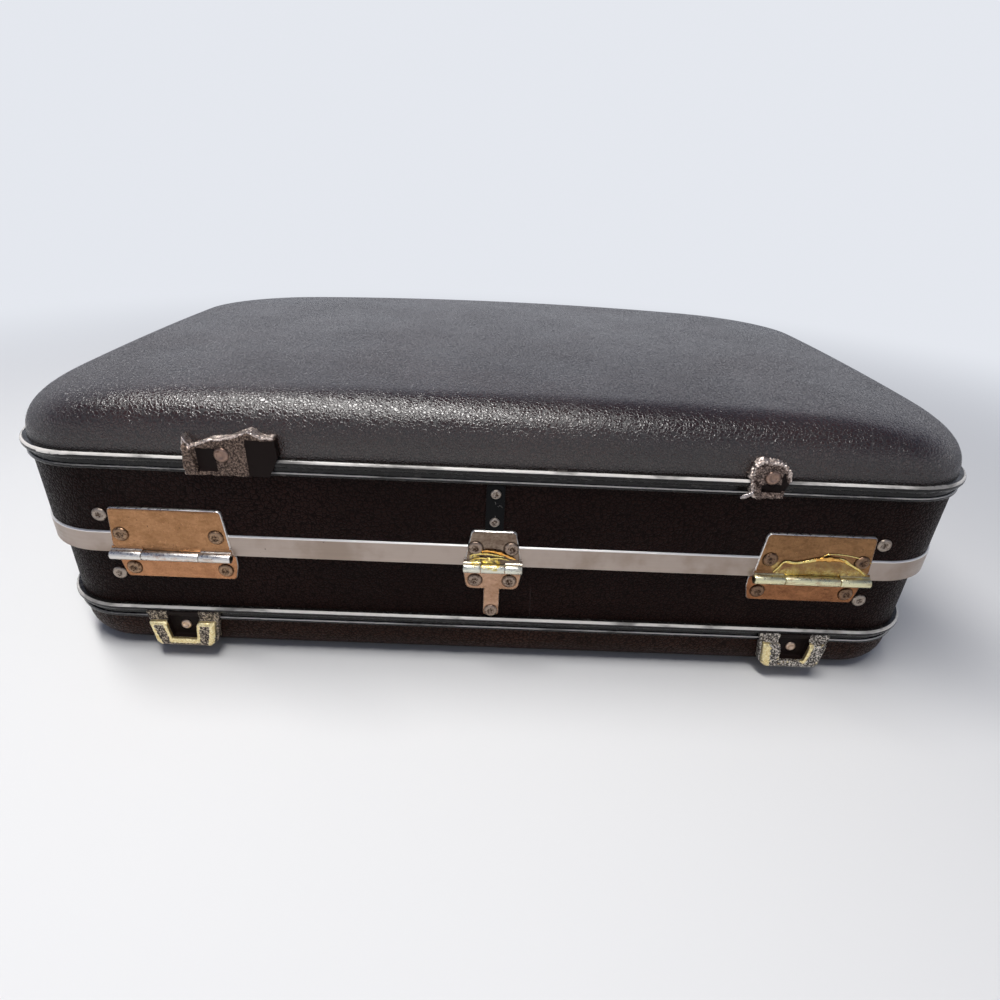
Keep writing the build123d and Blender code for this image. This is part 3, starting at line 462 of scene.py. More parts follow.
def pressed_plate(piece, corners, radius, back_y, face_y, edge, dish):
    """A pressed plate that faces -Y: its edges roll over from the wall to a slightly dished face."""
    levels = [(0.0, back_y)]
    levels += [(edge * (1 - cos), face_y + edge * (1 - sin)) for cos, sin in arc(0, quarter_turn, 6)]
    levels += [(edge + 0.5 * MM, face_y + dish * 0.3), (edge + 1.3 * MM, face_y + dish)]
    rings = []
    for inset, y in levels:
        rings.append([Vector((point.x, y, point.y)) for point in rounded_outline(corners, radius, inset)])
    piece.skin(rings)


def prism(piece, x_low, x_high, section):
    """A bar along X with a section in Y and Z."""
    piece.skin([[Vector((x, y, z)) for y, z in section] for x in (x_low, x_high)])


def smooth_path(points, steps):
    """A Catmull-Rom curve through a few points."""
    ends = [points[0] * 2 - points[1]] + points + [points[-1] * 2 - points[-2]]
    path = []
    for index in range(1, len(ends) - 2):
        before, start, stop, after = ends[index - 1:index + 3]
        for step in range(steps):
            t = step / steps
            path.append(0.5 * (
                2 * start + (stop - before) * t + (2 * before - 5 * start + 4 * stop - after) * t**2
                + (3 * start - before - 3 * stop + after) * t**3
            ))
    path.append(points[-1])
    return path


def peel(name, places, face_y, width, lift, material, body, seed):
    """A curled strip of plating that has come away from a plate facing -Y."""
    thickness = 0.10 * MM
    path = smooth_path([Vector((x * MM, z * MM)) for x, z in places], 10)
    rings = []
    last = len(path) - 1
    for index, point in enumerate(path):
        along = (path[min(index + 1, last)] - path[max(index - 1, 0)]).normalized()
        across = Vector((-along.y, along.x))
        share = index / last
        taper = math.sin(math.pi * min(max(share, 0.03), 0.97)) ** 0.35
        ragged = noise.noise(Vector((share * 9, seed, 0.0)))
        wide = width * taper * (1 + 0.45 * ragged)
        rise = lift * taper * (0.65 + 0.7 * abs(noise.noise(Vector((share * 6, seed, 5.0)))))
        curl = 1.9 + 0.8 * noise.noise(Vector((share * 4, seed, 9.0)))
        outer, inner = [], []
        for step in range(6):
            turn = (step / 5 - 0.5) * curl
            aside = math.sin(turn) / curl * wide
            out = (math.cos(turn) - math.cos(curl / 2)) / curl * wide + rise * (step / 5)
            flat = point + across * aside
            outer.append(Vector((flat.x, face_y - out - thickness, flat.y)))
            inner.append(Vector((flat.x, face_y - out, flat.y)))
        rings.append(outer + list(reversed(inner)))
    piece = Piece(name)
    piece.skin(rings)
    return piece.make(material, body, (), 60.0)


def domed_head(piece, x, y, z, facing, radius, height, dimple, end_y):
    """A turned rivet head that sits at y, with a raised rim, a dished middle and its shank behind."""
    shank = 1.6 * MM
    profile = [(1.0, 0.0), (1.0, 0.18), (0.965, 0.44), (0.88, 0.70), (0.76, 0.90), (0.64, 1.0), (0.54, 0.98)]
    profile += [(0.44, 0.98 - dimple * 0.5), (0.34, 0.98 - dimple * 0.9), (0.10, 0.98 - dimple)]
    stations = [(shank, end_y), (shank, y)]
    stations += [(radius * share, y + facing * height * rise) for share, rise in profile]
    rings = []
    for r, at_y in stations:
        rings.append([Vector((x + r * cos, at_y, z + r * sin)) for cos, sin in circle(36)])
    piece.skin(rings)


# Stage, light and camera
def make_camera():
    """The photograph's view, found from the case's welts, walls and corners."""
    pitch, yaw, roll = 0.4784, 0.0197, -0.0497
    place = Vector((-4.42, -453.25, 265.37)) * MM
    focal_share = 0.6132425
    sensor = 36.0
    level = Matrix(((1, 0, 0), (0, 0, -1), (0, 1, 0)))
    tip, swing = Matrix.Rotation(pitch, 3, "X"), Matrix.Rotation(-yaw, 3, "Y")
    right, down, ahead = Matrix.Rotation(-roll, 3, "Z") @ tip @ swing @ level
    turned = Matrix((right, -down, -ahead)).transposed().to_4x4()
    data = bpy.data.cameras.new("camera")
    data.sensor_width = sensor
    data.lens = sensor * focal_share
    data.clip_start = 0.01
    camera = add_object("camera", data)
    camera.matrix_world = Matrix.Translation(place) @ turned
    bpy.context.scene.camera = camera


def area_lamp(name, place, aim, size, power, colour):
    data = bpy.data.lights.new(name, "AREA")
    data.shape = "RECTANGLE"
    data.size, data.size_y = size
    data.energy = power
    data.color = colour
    lamp = add_object(name, data)
    lamp.location = place
    lamp.rotation_mode = "QUATERNION"
    lamp.rotation_quaternion = (Vector(aim) - Vector(place)).to_track_quat("-Z", "Y")


PALE = (0.78, 0.805, 0.86)
OVERHEAD = (0.52, 0.62, 0.95)


def make_stage():
    """A pale paper floor that melts into the pale background far from the case."""
    half = 30.0
    mesh = bpy.data.meshes.new("floor")
    corners = [(-half, -half, 0), (half, -half, 0), (half, half, 0), (-half, half, 0)]
    mesh.from_pydata(corners, [], [(0, 1, 2, 3)])
    floor = add_object("floor", mesh)
    finish = Finish("floor_paper", (0.76, 0.76, 0.76), 0.9)
    finish.set("Base Color", finish.mix(finish.grey(0.4, 2), (0.75, 0.75, 0.75), (0.78, 0.78, 0.78)))
    glow = finish.node("Emission", {"Color": PALE, "Strength": 1.0})
    from_middle = finish.node("VectorMath", {0: finish.place}, operation="LENGTH").outputs["Value"]
    seen = finish.node("LightPath", {}).outputs["Is Camera Ray"]
    share = finish.times(finish.ramp(from_middle, 0.32, 1.3), seen)
    both = finish.node("MixShader", {0: share, 1: finish.surface.outputs[0], 2: glow.outputs[0]})
    finish.links.new(both.outputs[0], finish.nodes["Material Output"].inputs["Surface"])
    floor.data.materials.append(finish.material)


def make_world():
    """Soft even light and a pale background; overhead, glossy surfaces see a dimmer, bluish one."""
    diffuse_level, overhead_level = 0.20, 0.24
    world = bpy.data.worlds.new("studio")
    bpy.context.scene.world = world
    tree = Tree(world)
    ray = tree.node("LightPath", {}).outputs
    seen = tree.maths("MAXIMUM", ray["Is Camera Ray"], ray["Is Transmission Ray"])
    seen = tree.maths("MAXIMUM", seen, ray["Is Glossy Ray"])
    direction = tree.node("TexCoord", {}).outputs["Generated"]
    upward = tree.node("SeparateXYZ", {"Vector": direction}).outputs["Z"]
    unseen = tree.maths("SUBTRACT", 1.0, ray["Is Camera Ray"])
    overhead = tree.times(tree.ramp(upward, 0.20, 0.55), unseen)
    level = tree.maths("MULTIPLY_ADD", overhead, overhead_level - 1.0, 1.0)
    background = tree.nodes["Background"]
    tree.feed(background.inputs["Strength"], tree.ramp(seen, 0.0, 1.0, diffuse_level, level))
    tree.feed(background.inputs["Color"], tree.mix(overhead, PALE, OVERHEAD))


bpy.context.scene.view_settings.view_transform = "Standard"
make_camera()
make_stage()
make_world()
area_lamp("strip", (-0.28, -0.24, 1.20), (-0.16, -0.14, 0.15), (1.25, 0.16), 18.0, (1.0, 0.985, 0.96))
area_lamp("front_fill", (0.2, -1.5, 0.9), (0, 0, 0.08), (1.6, 1.0), 1.1, (1.0, 0.98, 0.96))
area_lamp("back_fill", (-0.3, 1.6, 1.1), (0, 0, 0.08), (1.6, 0.8), 0.9, (0.80, 0.89, 1.0))


# Finishes: colour, size and depth of the grain, roughness, dust and gloss of each leather
shell_leather = pressed_leather(
    "shell_leather", (0.0190, 0.0078, 0.0055), 0.0019, 0.000105, 0.15, 0.30, 0.85
)
wall_leather = pressed_leather(
    "wall_leather", (0.0125, 0.0047, 0.0035), 0.0022, 0.00026, 0.34, 0.15, 0.06
)
bottom_leather = pressed_leather(
    "bottom_leather", (0.0270, 0.0108, 0.0066), 0.0024, 0.00022, 0.36, 0.2, 0.08
)
grip_finish = pressed_leather("grip_leather", (0.022, 0.017, 0.015), 0.0016, 0.00012, 0.42, 0.15)
latch_finish = brushed("latch_nickel", (0.66, 0.62, 0.55), (0.42, 0.35, 0.27), 0.28)
brass_finish = brushed("key_brass", (0.75, 0.56, 0.27), (0.45, 0.29, 0.12), 0.30)
lining_cloth = woven("lining_cloth", (0.42, 0.33, 0.22), 0.00045)
pocket_cloth = woven("pocket_cloth", (0.30, 0.215, 0.13), 0.0006)
webbing_cloth = woven("webbing_cloth", (0.10, 0.075, 0.055), 0.0011)


# Copies of CAD pieces with the rounded edges, dents and casting skin of the real ones
def copied(name):
    """A free mesh of a CAD node, with its doubled points joined and its flat faces whole."""
    work = bmesh.new()
    work.from_mesh(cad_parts[name].data)
    bmesh.ops.remove_doubles(work, verts=work.verts, dist=0.002 * MM)
    return work


def from_bmesh(work, name):
    mesh = bpy.data.meshes.new(name)
    work.to_mesh(mesh)
    work.free()
    return add_object(name, mesh)


def rolled(node, body, material, width, segments):
    """Replaces a node by the same shape with every hard edge rolled over."""
    flat, hard = math.radians(0.6), math.radians(35.0)
    work = copied(node)
    bmesh.ops.dissolve_limit(
        work, angle_limit=flat, verts=work.verts, edges=work.edges, use_dissolve_boundaries=False
    )
    edges = [edge for edge in work.edges if edge.is_manifold and edge.calc_face_angle(0) > hard]
    bmesh.ops.bevel(
        work, geom=edges, offset=width * MM, offset_type="OFFSET", segments=segments, profile=0.5,
        affect="EDGES", clamp_overlap=True,
    )
    return dress(from_bmesh(work, node + "_rolled"), material, body, (node,), 30.0)


def cast(node, body, material, voxel, soften, rough, coarse, seed, mark):
    """Replaces a node by a worn casting of its shape: soft corners and a pitted skin, sizes in mm."""
    piece = from_bmesh(copied(node), node + "_cast")
    remesh = piece.modifiers.new("remesh", "REMESH")
    remesh.mode = "VOXEL"
    remesh.voxel_size = voxel * MM
    smooth = piece.modifiers.new("smooth", "SMOOTH")
    smooth.factor = 0.5
    smooth.iterations = soften
    evaluated = piece.evaluated_get(bpy.context.evaluated_depsgraph_get())
    solid = bpy.data.meshes.new_from_object(evaluated)
    piece.modifiers.clear()
    piece.data = solid
    fine_size, coarse_size = 1.1 * MM, 3.5 * MM
    shift = Vector((seed, seed * 0.7, -seed))
    bare = solid.attributes.new("bare", "FLOAT", "POINT")
    moves = []
    for index, vertex in enumerate(solid.vertices):
        place = vertex.co
        bare.data[index].value = mark(place)
        fine = noise.noise(place / fine_size + shift)
        broad = noise.noise(place / coarse_size - shift)
        moves.append(vertex.normal * (fine * rough + broad * coarse) * MM)
    for vertex, move in zip(solid.vertices, moves):
        vertex.co += move
    return dress(piece, material, body, (node,), 60.0)


def line_gap(place, start, stop):
    """How far a place is from a line between two others, in X and Z."""
    along = stop - start
    share = max(0.0, min(1.0, (place - start).dot(along) / along.length_squared))
    return (place - start - along * share).length


def islands(name):
    """The box of each separate solid of a node."""
    work = copied(name)
    unseen = set(work.verts)
    boxes = []
    while unseen:
        reached = [unseen.pop()]
        group = list(reached)
        while reached:
            vertex = reached.pop()
            for edge in vertex.link_edges:
                other = edge.other_vert(vertex)
                if other in unseen:
                    unseen.discard(other)
                    reached.append(other)
                    group.append(other)
        low = Vector([min(vertex.co[axis] for vertex in group) for axis in range(3)])
        high = Vector([max(vertex.co[axis] for vertex in group) for axis in range(3)])
        boxes.append((low, high))
    work.free()
    boxes.sort(key=lambda box: (round(box[0].x, 5), box[0].z))
    return boxes


def rivet_heads(node, body, facing, height, material, dimple, name=None, span=(0.0, 1.0), whole=True):
    """Turned heads for a node's rivets, or for those whose distance from the middle is in the span."""
    piece = Piece(name or node + "_heads")
    for low, high in islands(node):
        centre = (low + high) / 2
        if not span[0] <= abs(centre.x) < span[1]:
            continue
        outer, end = (low.y, high.y) if facing < 0 else (high.y, low.y)
        radius = (high.x - low.x) / 2
        seat = outer - facing * height
        domed_head(piece, centre.x, seat, centre.z, facing, radius, height, dimple, end)
    return piece.make(material, body, (node,) if whole else ())


# Lid panel: superellipse edge and corners that grow softer towards the top
def level_ring(inset, radius, z):
    """A rounded rectangle at one level, with points along its straight sides too."""
    reach_x = wall_high.x - inset - radius
    reach_y = wall_high.y - inset - radius
    corners = []
    for quarter, (side_x, side_y) in enumerate(((1, 1), (-1, 1), (-1, -1), (1, -1))):
        centre = Vector((side_x * reach_x, side_y * reach_y, z))
        turns = arc(quarter_turn * quarter, quarter_turn * (quarter + 1), 14)
        corners.append([centre + Vector((cos, sin, 0)) * radius for cos, sin in turns])
    ring = []
    for corner, after, count in zip(corners, corners[1:] + corners[:1], (30, 16, 30, 16)):
        ring += corner
        ring += [corner[-1].lerp(after[0], step / count) for step in range(1, count)]
    return ring


def crown_drop(x, y, crown):
    """How far a crowned top lies below its middle, at a place."""
    ball = (wall_high.x**2 + wall_high.y**2) / (2 * crown)
    return ball - math.sqrt(ball**2 - x**2 - y**2)


def dome_rings(inset, low, top, edge, corner, top_corner, crown):
    """Rings from the rim up, over the edge and in to the middle of the top."""
    fullness, softening = 2.5, 2.0
    across = 14
    rings = [level_ring(inset, corner, low)]
    for cos, sin in arc(0, quarter_turn, 18):
        way_in = edge * (1 - max(cos, 0.0) ** (2 / fullness))
        rise = edge * sin ** (2 / fullness)
        radius = corner + (top_corner - corner) * (way_in / edge) ** softening
        rings.append(level_ring(inset + way_in, radius, rise - edge))
    rim = rings[-1]
    for step in range(1, across):
        share = 1 - step / across
        rings.append([Vector((point.x * share, point.y * share, 0)) for point in rim])
    for ring in rings[1:]:
        for point in ring:
            point.z += top - crown_drop(point.x, point.y, crown)
    return rings


def make_lid_shell():
    low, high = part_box("lid_panel")
    thickness = 2.4 * MM
    lap_inner, wall_inner = 4.6 * MM, 3.0 * MM
    edge = 28.0 * MM
    nip_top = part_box("lid_welt")[1].z - 2.5 * MM
    ledge_top = nip_top + 2.0 * MM
    outer = dome_rings(0.0, nip_top, high.z, edge, wall_corner, soft_corner, lid_crown)
    inner = dome_rings(
        thickness, ledge_top, high.z - thickness, edge - thickness,
        wall_corner - thickness, soft_corner - thickness, lid_crown,
    )
    steps = ((wall_inner, nip_top), (wall_inner, low.z), (lap_inner, low.z), (lap_inner, ledge_top))
    lap = [level_ring(inset, wall_corner - inset, z) for inset, z in steps]
    piece = Piece("lid_shell")
    piece.skin(list(reversed(outer)) + lap + inner)
    piece.make(shell_leather, "lid", ("lid_panel",))


make_lid_shell()


# Hinges
leaf_rivet_z = parting_z + 12.3 * MM
low_rivet_z = parting_z - 12.1 * MM
barrel_radius = 2.7 * MM
barrel_y = band_low.y - 3.0 * MM
leaf_thickness = 1.2 * MM
lid_leaf_face = band_low.y - leaf_thickness
base_leaf_face = base_back - leaf_thickness
knuckle_gap = 0.3 * MM
leaf_corner, centre_low_corner = 2.6 * MM, 4.0 * MM
seated = 0.05 * MM


class HingeLook:
    """The places of one hinge's outline and rivets."""

    def __init__(self, side, top_half, low_half, rise, drop, low_corner, middle_share, rivet_half):
        low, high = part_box(f"hinge_{side}_pin")
        self.side = side
        self.x = (low.x + high.x) / 2
        self.half = (high.x - low.x) / 2
        self.middle = self.half * middle_share
        self.top_half = top_half
        self.low_half = low_half
        self.low_corner = low_corner
        self.top = parting_z + rise
        self.low = parting_z - drop
        places = (self.x - rivet_half, self.x + rivet_half)
        self.lid_rivets = [(x, leaf_rivet_z) for x in places]
        self.base_rivets = [(x, low_rivet_z) for x in places]


def knuckle(piece, x_low, x_high):
    """One knuckle of a barrel, with rounded ends."""
    end = 0.35 * MM
    profile = [(0.0, barrel_radius * 0.45), (0.0, barrel_radius - end)]
    profile += [(end * 0.3, barrel_radius - end * 0.3), (end, barrel_radius)]
    stations = [(x_low + dx, r) for dx, r in profile] + [(x_high - dx, r) for dx, r in reversed(profile)]
    rings = []
    for x, r in stations:
        rings.append([Vector((x, barrel_y + r * cos, parting_z + r * sin)) for cos, sin in circle(40)])
    piece.skin(rings)


def lid_leaf(hinge, material):
    """A trapezoid plate, two knuckles and the sheet that curls round into them."""
    piece = Piece(f"hinge_{hinge.side}_lid_plate")
    curl_top = parting_z + 4.4 * MM
    plate_low = parting_z + barrel_radius + 0.4 * MM
    slant = (hinge.half - hinge.top_half) / (hinge.top - parting_z)
    wide = hinge.half - slant * (plate_low - parting_z)
    corners = mirrored(hinge.x, [(wide, plate_low), (hinge.top_half, hinge.top)])
    pressed_plate(piece, corners, leaf_corner, lid_back - seated, lid_leaf_face, 1.45 * MM, 0.12 * MM)
    behind = band_low.y - seated
    section = [(behind, curl_top)]
    for cos, sin in arc(0, quarter_turn, 8):
        section.append((
            lid_leaf_face + (barrel_y - lid_leaf_face) * (1 - cos),
            curl_top + (parting_z + barrel_radius - curl_top) * sin,
        ))
    section += [(barrel_y, parting_z + 1.2 * MM), (behind, parting_z + 0.4 * MM)]
    room = hinge.middle + knuckle_gap
    for low_x, high_x in ((hinge.x - hinge.half, hinge.x - room), (hinge.x + room, hinge.x + hinge.half)):
        knuckle(piece, low_x, high_x)
        prism(piece, low_x + 0.3 * MM, high_x - 0.05 * MM, section)
    keep_out = barrel_radius + 0.3 * MM
    skirt = [(y, parting_z + 5.5 * MM) for y in (behind, lid_leaf_face + 0.02 * MM)]
    first = math.asin((lid_leaf_face - barrel_y) / keep_out)
    last = math.asin(min(1.0, (behind - barrel_y) / keep_out))
    skirt += [(barrel_y + keep_out * sin, parting_z + keep_out * cos) for cos, sin in arc(first, last, 6)]
    prism(piece, hinge.x - room, hinge.x + room, skirt)
    piece.make(material, "lid", (f"hinge_{hinge.side}_lid_leaf",), 30.0)


def base_leaf(hinge, material, tail):
    """A plate with round corners, the middle knuckle and the bridge that carries it."""
    piece = Piece(f"hinge_{hinge.side}_base_plate")
    top = parting_z - 1.6 * MM
    shoulder = hinge.low + 0.55 * (top - hinge.low)
    corners = mirrored(hinge.x, [(hinge.low_half, hinge.low), (hinge.half, shoulder), (hinge.half, top)])
    back = base_back - 0.02 * MM
    pressed_plate(piece, corners, hinge.low_corner, back, base_leaf_face, 1.05 * MM, 0.1 * MM)
    bridge_top = parting_z - 0.8 * MM
    bridge_low = parting_z - 2.0 * MM
    flare_out, flare_down = 2.0 * MM, 2.2 * MM
    section = [(barrel_y, bridge_top), (back, bridge_top), (back, bridge_low - flare_down)]
    section.append((base_leaf_face, bridge_low - flare_down))
    for cos, sin in arc(0, quarter_turn, 6):
        section.append((base_leaf_face - flare_out * (1 - cos), bridge_low - flare_down * (1 - sin)))
    section.append((barrel_y, bridge_low))
    knuckle(piece, hinge.x - hinge.middle, hinge.x + hinge.middle)
    prism(piece, hinge.x - hinge.middle + 0.3 * MM, hinge.x + hinge.middle - 0.3 * MM, section)
    if tail:
        half, low, high = tail
        corners = mirrored(hinge.x, [(half, low), (half, high)])
        pressed_plate(piece, corners, leaf_corner, back, base_leaf_face + 0.02 * MM, 0.9 * MM, 0.1 * MM)
    piece.make(material, "base", (f"hinge_{hinge.side}_base_leaf",), 30.0)


side_sizes = (30.4 * MM, 31.0 * MM, 28.5 * MM, 18.6 * MM, leaf_corner, 0.47, 25.9 * MM)
centre_sizes = (12.3 * MM, 15.0 * MM, 23.0 * MM, 18.4 * MM, centre_low_corner, 0.40, 9.9 * MM)
left_hinge = HingeLook("left", *side_sizes)
right_hinge = HingeLook("right", *side_sizes)
centre_hinge = HingeLook("centre", *centre_sizes)
tail_half = 4.7 * MM
tail_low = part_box("hinge_centre_base_leaf")[0].z
centre_tail = (tail_half, tail_low, centre_hinge.low + 2.6 * MM)


def arc_gold(finish):
    """Yellow plating that is left under an arc on the right hinge, thickest towards the barrel."""
    x, z = finish.axis("X"), finish.axis("Z")
    off = finish.maths("SUBTRACT", x, right_hinge.x + 6 * MM)
    arch = finish.maths("MULTIPLY_ADD", finish.times(off, off), -14.0, parting_z + 13.6 * MM)
    ragged = finish.maths("MULTIPLY_ADD", finish.grey(0.0035, 4, 0.65), 0.0030, -0.0015)
    under = finish.maths("SUBTRACT", finish.maths("ADD", arch, ragged), z)
    inside = finish.ramp(under, -0.0002, 0.0003)
    low = finish.ramp(z, parting_z + 9 * MM, parting_z + 3 * MM, 0.16, 0.75)
    left = finish.ramp(x, right_hinge.x - 14 * MM, right_hinge.x - 24 * MM, 0.0, 0.45)
    off_barrel = finish.ramp(finish.axis("Y"), lid_leaf_face - 0.6 * MM, lid_leaf_face - 0.3 * MM)
    shown = finish.times(inside, finish.maths("MAXIMUM", low, left), off_barrel)
    hook = finish.near([(right_hinge.x - 21 * MM, parting_z + 7.5 * MM)], 1.6 * MM, 2.2 * MM)
    patches = finish.patches((0.005, 4, 0.7), 0.40, 0.60, 0.35, 1.0)
    return finish.times(finish.maths("MAXIMUM", shown, hook), patches)


def centre_gold(finish):
    """A flaking patch on and just above the centre hinge's middle knuckle."""
    x, z = centre_hinge.x - 1.0 * MM, parting_z + 3.2 * MM
    spot = finish.near([(x - 3 * MM, z), (x + 2 * MM, z), (x - 9 * MM, z + 1.5 * MM)], 1.2 * MM, 3.6 * MM)
    return finish.times(finish.ramp(spot, 0.25, 0.75), finish.patches((0.0022, 4, 0.7), 0.44, 0.54))


# Each hinge: metal and tarnish of its two leaves, its barrel, and gold on the lid and base leaves
hinge_looks = (
    (left_hinge, (0.43, 0.225, 0.11), (0.28, 0.14, 0.062), (0.47, 0.23, 0.115), (0.31, 0.145, 0.07),
     (0.72, 0.69, 0.65), None, None),
    (right_hinge, (0.31, 0.165, 0.075), (0.17, 0.085, 0.038), (0.35, 0.155, 0.07), (0.17, 0.07, 0.032),
     (0.80, 0.75, 0.48), arc_gold, None),
    (centre_hinge, (0.27, 0.205, 0.155), (0.12, 0.078, 0.055), (0.50, 0.31, 0.21), (0.32, 0.185, 0.11),
     (0.74, 0.73, 0.62), centre_gold, centre_gold),
)
for hinge, lid_metal, lid_dark, base_metal, base_dark, barrel, lid_gold, base_gold in hinge_looks:
    name = "hinge_" + hinge.side
    lid_leaf(hinge, plated(
        name + "_lid", lid_leaf_face, lid_metal, lid_dark, barrel, lid_gold, hinge.lid_rivets
    ))
    base_leaf(hinge, plated(
        name + "_base", base_leaf_face, base_metal, base_dark, barrel, base_gold, hinge.base_rivets
    ), centre_tail if hinge is centre_hinge else None)

gold_foil = foil("gold_foil", (0.76, 0.50, 0.10), (0.95, 0.82, 0.36))
orange_foil = foil("orange_foil", (0.70, 0.28, 0.05), (0.92, 0.55, 0.16))
right_arc = [
    (157, 77.0), (159.5, 80.5), (162, 84.0), (168, 83.6), (175, 85.0), (181.6, 86.6),
    (188, 87.0), (194, 86.5), (198.7, 83.8), (204.4, 80.7), (209, 77.2),
]
right_thread = [(181, 87.6), (186, 90.0), (196, 89.6), (206, 87.2), (210.5, 85.2)]
right_flap = [(177, 85.8), (183, 86.7), (190, 86.7), (195.5, 85.6)]
centre_top = [(-8, 83.2), (-3, 83.6), (3, 82.4), (8, 80.2), (11.5, 78.6)]
centre_middle = [(-14, 80.0), (-10, 81.4), (-5, 81.6), (0, 81.0), (5, 80.0)]
centre_low = [(-13, 77.6), (-8, 78.8), (-3, 78.6), (3, 79.0), (8, 78.0)]
curls = (
    ("plating_arc_right", right_arc, 2.5, 0.80, gold_foil, 1.3),
    ("plating_thread_right", right_thread, 0.8, 0.15, gold_foil, 4.1),
    ("plating_flap_right", right_flap, 3.6, 1.00, orange_foil, 7.7),
    ("plating_curl_centre_1", centre_top, 2.7, 1.4, orange_foil, 2.0),
    ("plating_curl_centre_2", centre_middle, 2.0, 0.9, gold_foil, 5.1),
    ("plating_curl_centre_3", centre_low, 1.8, 0.9, gold_foil, 8.2),
)
for name, places, width, lift, look, seed in curls:
    peel(name, places, lid_leaf_face, width * MM, lift * MM, look, "lid", seed)


# Rivets, whose spans are distances from the middle of the case
back_height, small_height, front_height = 1.3 * MM, 1.1 * MM, 0.8 * MM
on_hinge, off_hinge = (0.0, 210 * MM), (210 * MM, 1.0)
on_strap, off_strap = (0.0, 20 * MM), (20 * MM, 1.0)
rivet_places = {
    name: [(low + high) / 2 for low, high in islands(name)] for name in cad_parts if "rivets" in name
}


def flat_places(*names):
    return [(point.x, point.z) for name in names for point in rivet_places[name]]


def make_rivets():
    rivet_tones = {
        "left": ((0.33, 0.215, 0.135), (0.09, 0.045, 0.025)),
        "centre": ((0.33, 0.25, 0.195), (0.07, 0.04, 0.028)),
        "right": ((0.22, 0.135, 0.085), (0.05, 0.026, 0.017)),
    }
    loose_tones = ((0.36, 0.30, 0.25), (0.10, 0.065, 0.045))
    for side, tones in rivet_tones.items():
        nodes = (f"lid_rivets_{side}", f"base_rivets_{side}")
        centres = flat_places(*nodes)
        hinge_tone = rivet_metal("rivet_" + side, *tones, 0.10, centres, 1.7 * MM)
        loose_tone = rivet_metal("loose_rivet_" + side, *loose_tones, 0.08, centres, 1.4 * MM)
        for node, body in zip(nodes, ("lid", "base")):
            rivet_heads(node, body, -1, back_height, hinge_tone, 0.28, node + "_on_leaf", on_hinge)
            if side != "centre":
                rivet_heads(node, body, -1, back_height, loose_tone, 0.35, node + "_loose", off_hinge, False)
    centres = flat_places("lid_small_rivets")
    strap_tone = rivet_metal("strap_rivet", (0.40, 0.34, 0.29), (0.12, 0.08, 0.06), 0.05, centres, 1.5 * MM)
    stub_tone = rivet_metal("stub_rivet", (0.30, 0.20, 0.155), (0.12, 0.07, 0.05), 0.06)
    foot_tone = rivet_metal("foot_rivet", (0.60, 0.45, 0.34), (0.22, 0.13, 0.09), 0.06)
    front_tone = rivet_metal("front_rivet", (0.60, 0.54, 0.46), (0.24, 0.16, 0.11), 0.0)
    small = ("lid_small_rivets", "lid", -1, small_height)
    rivet_heads(*small, strap_tone, 0.35, "strap_rivets", on_strap)
    rivet_heads(*small, stub_tone, 0.55, "stub_rivets", off_strap, False)
    rivet_heads("foot_rivets", "base", -1, small_height, foot_tone, 0.5)
    for node, body in (("handle_rivets", "base"), ("lock_rivets", "base"), ("hasp_rivets", "lid")):
        rivet_heads(node, body, 1, front_height, front_tone, 0.3)


make_rivets()


# Feet
def foot_marks(side):
    """Where the plating of a standing foot is bare: the rims of its U, and a flank of the right one."""
    low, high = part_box("base_foot_" + side)
    centre = (low.x + high.x) / 2
    leg_top = high.z - 5.6 * MM
    bar_top = low.z + 6.0 * MM
    outer_top, outer_low = 18.6 * MM, 14.6 * MM
    inner_top, inner_low = 9.2 * MM, 7.4 * MM
    recess_y, back_y = low.y + 2.2 * MM, low.y + 3.2 * MM
    rim_half, rim_soft = 0.9 * MM, 1.4 * MM
    weak = 0.35 if side == "right" else 1.0
    bar_z = bar_top - 1.2 * MM
    rims = [(Vector((-inner_low, bar_z)), Vector((inner_low, bar_z)), weak)]
    for hand, inner_strength in ((-1, weak), (1, 1.0)):
        top_out, low_out = Vector((hand * outer_top, leg_top)), Vector((hand * outer_low, low.z))
        top_in, low_in = Vector((hand * inner_top, leg_top)), Vector((hand * inner_low, bar_top))
        rims += [(top_out, low_out, weak), (top_in, low_in, inner_strength), (top_out, top_in, weak)]
    flank = (Vector((1.0 * MM - outer_top, leg_top)), Vector((-outer_low, low.z)))

    def mark(place):
        flat = Vector((place.x - centre, place.z))
        # The back of the U's recess is marked below 0, for painted shade.
        if place.y > recess_y and flat.y > bar_top and abs(flat.x) < inner_top:
            return -1.0
        if place.y > back_y:
            return 0.0
        amount = 0.0
        for start, stop, strength in rims:
            outside = max(0.0, line_gap(flat, start, stop) - rim_half)
            amount = max(amount, strength * (1.0 - outside / rim_soft))
        if side == "right":
            amount = max(amount, 1.25 - line_gap(flat, *flank) / (3.2 * MM))
        return min(1.0, amount)
    return mark


left_break = [
    (-20, 0), (-19.5, 11), (-18.6, 21.8), (-14.9, 15.7), (-10, 17.8), (-5.8, 19.7), (2, 20.5),
    (7.8, 22), (15.2, 25.1), (21.5, 21.4), (27.6, 22),
]
right_break = [
    (-8, 0), (-10.5, 5), (-11.7, 12), (-10, 17.5), (-7.5, 20.6), (3.3, 19.8), (7.8, 16.5), (10, 11),
]
stub_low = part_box("lid_foot_left")[0].z
stub_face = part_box("lid_foot_left")[0].y
stub_rivets = sorted(point.x for point in rivet_places["lid_small_rivets"] if abs(point.x) >= off_strap[0])
stub_rivet_z = max(point.z for point in rivet_places["lid_small_rivets"])


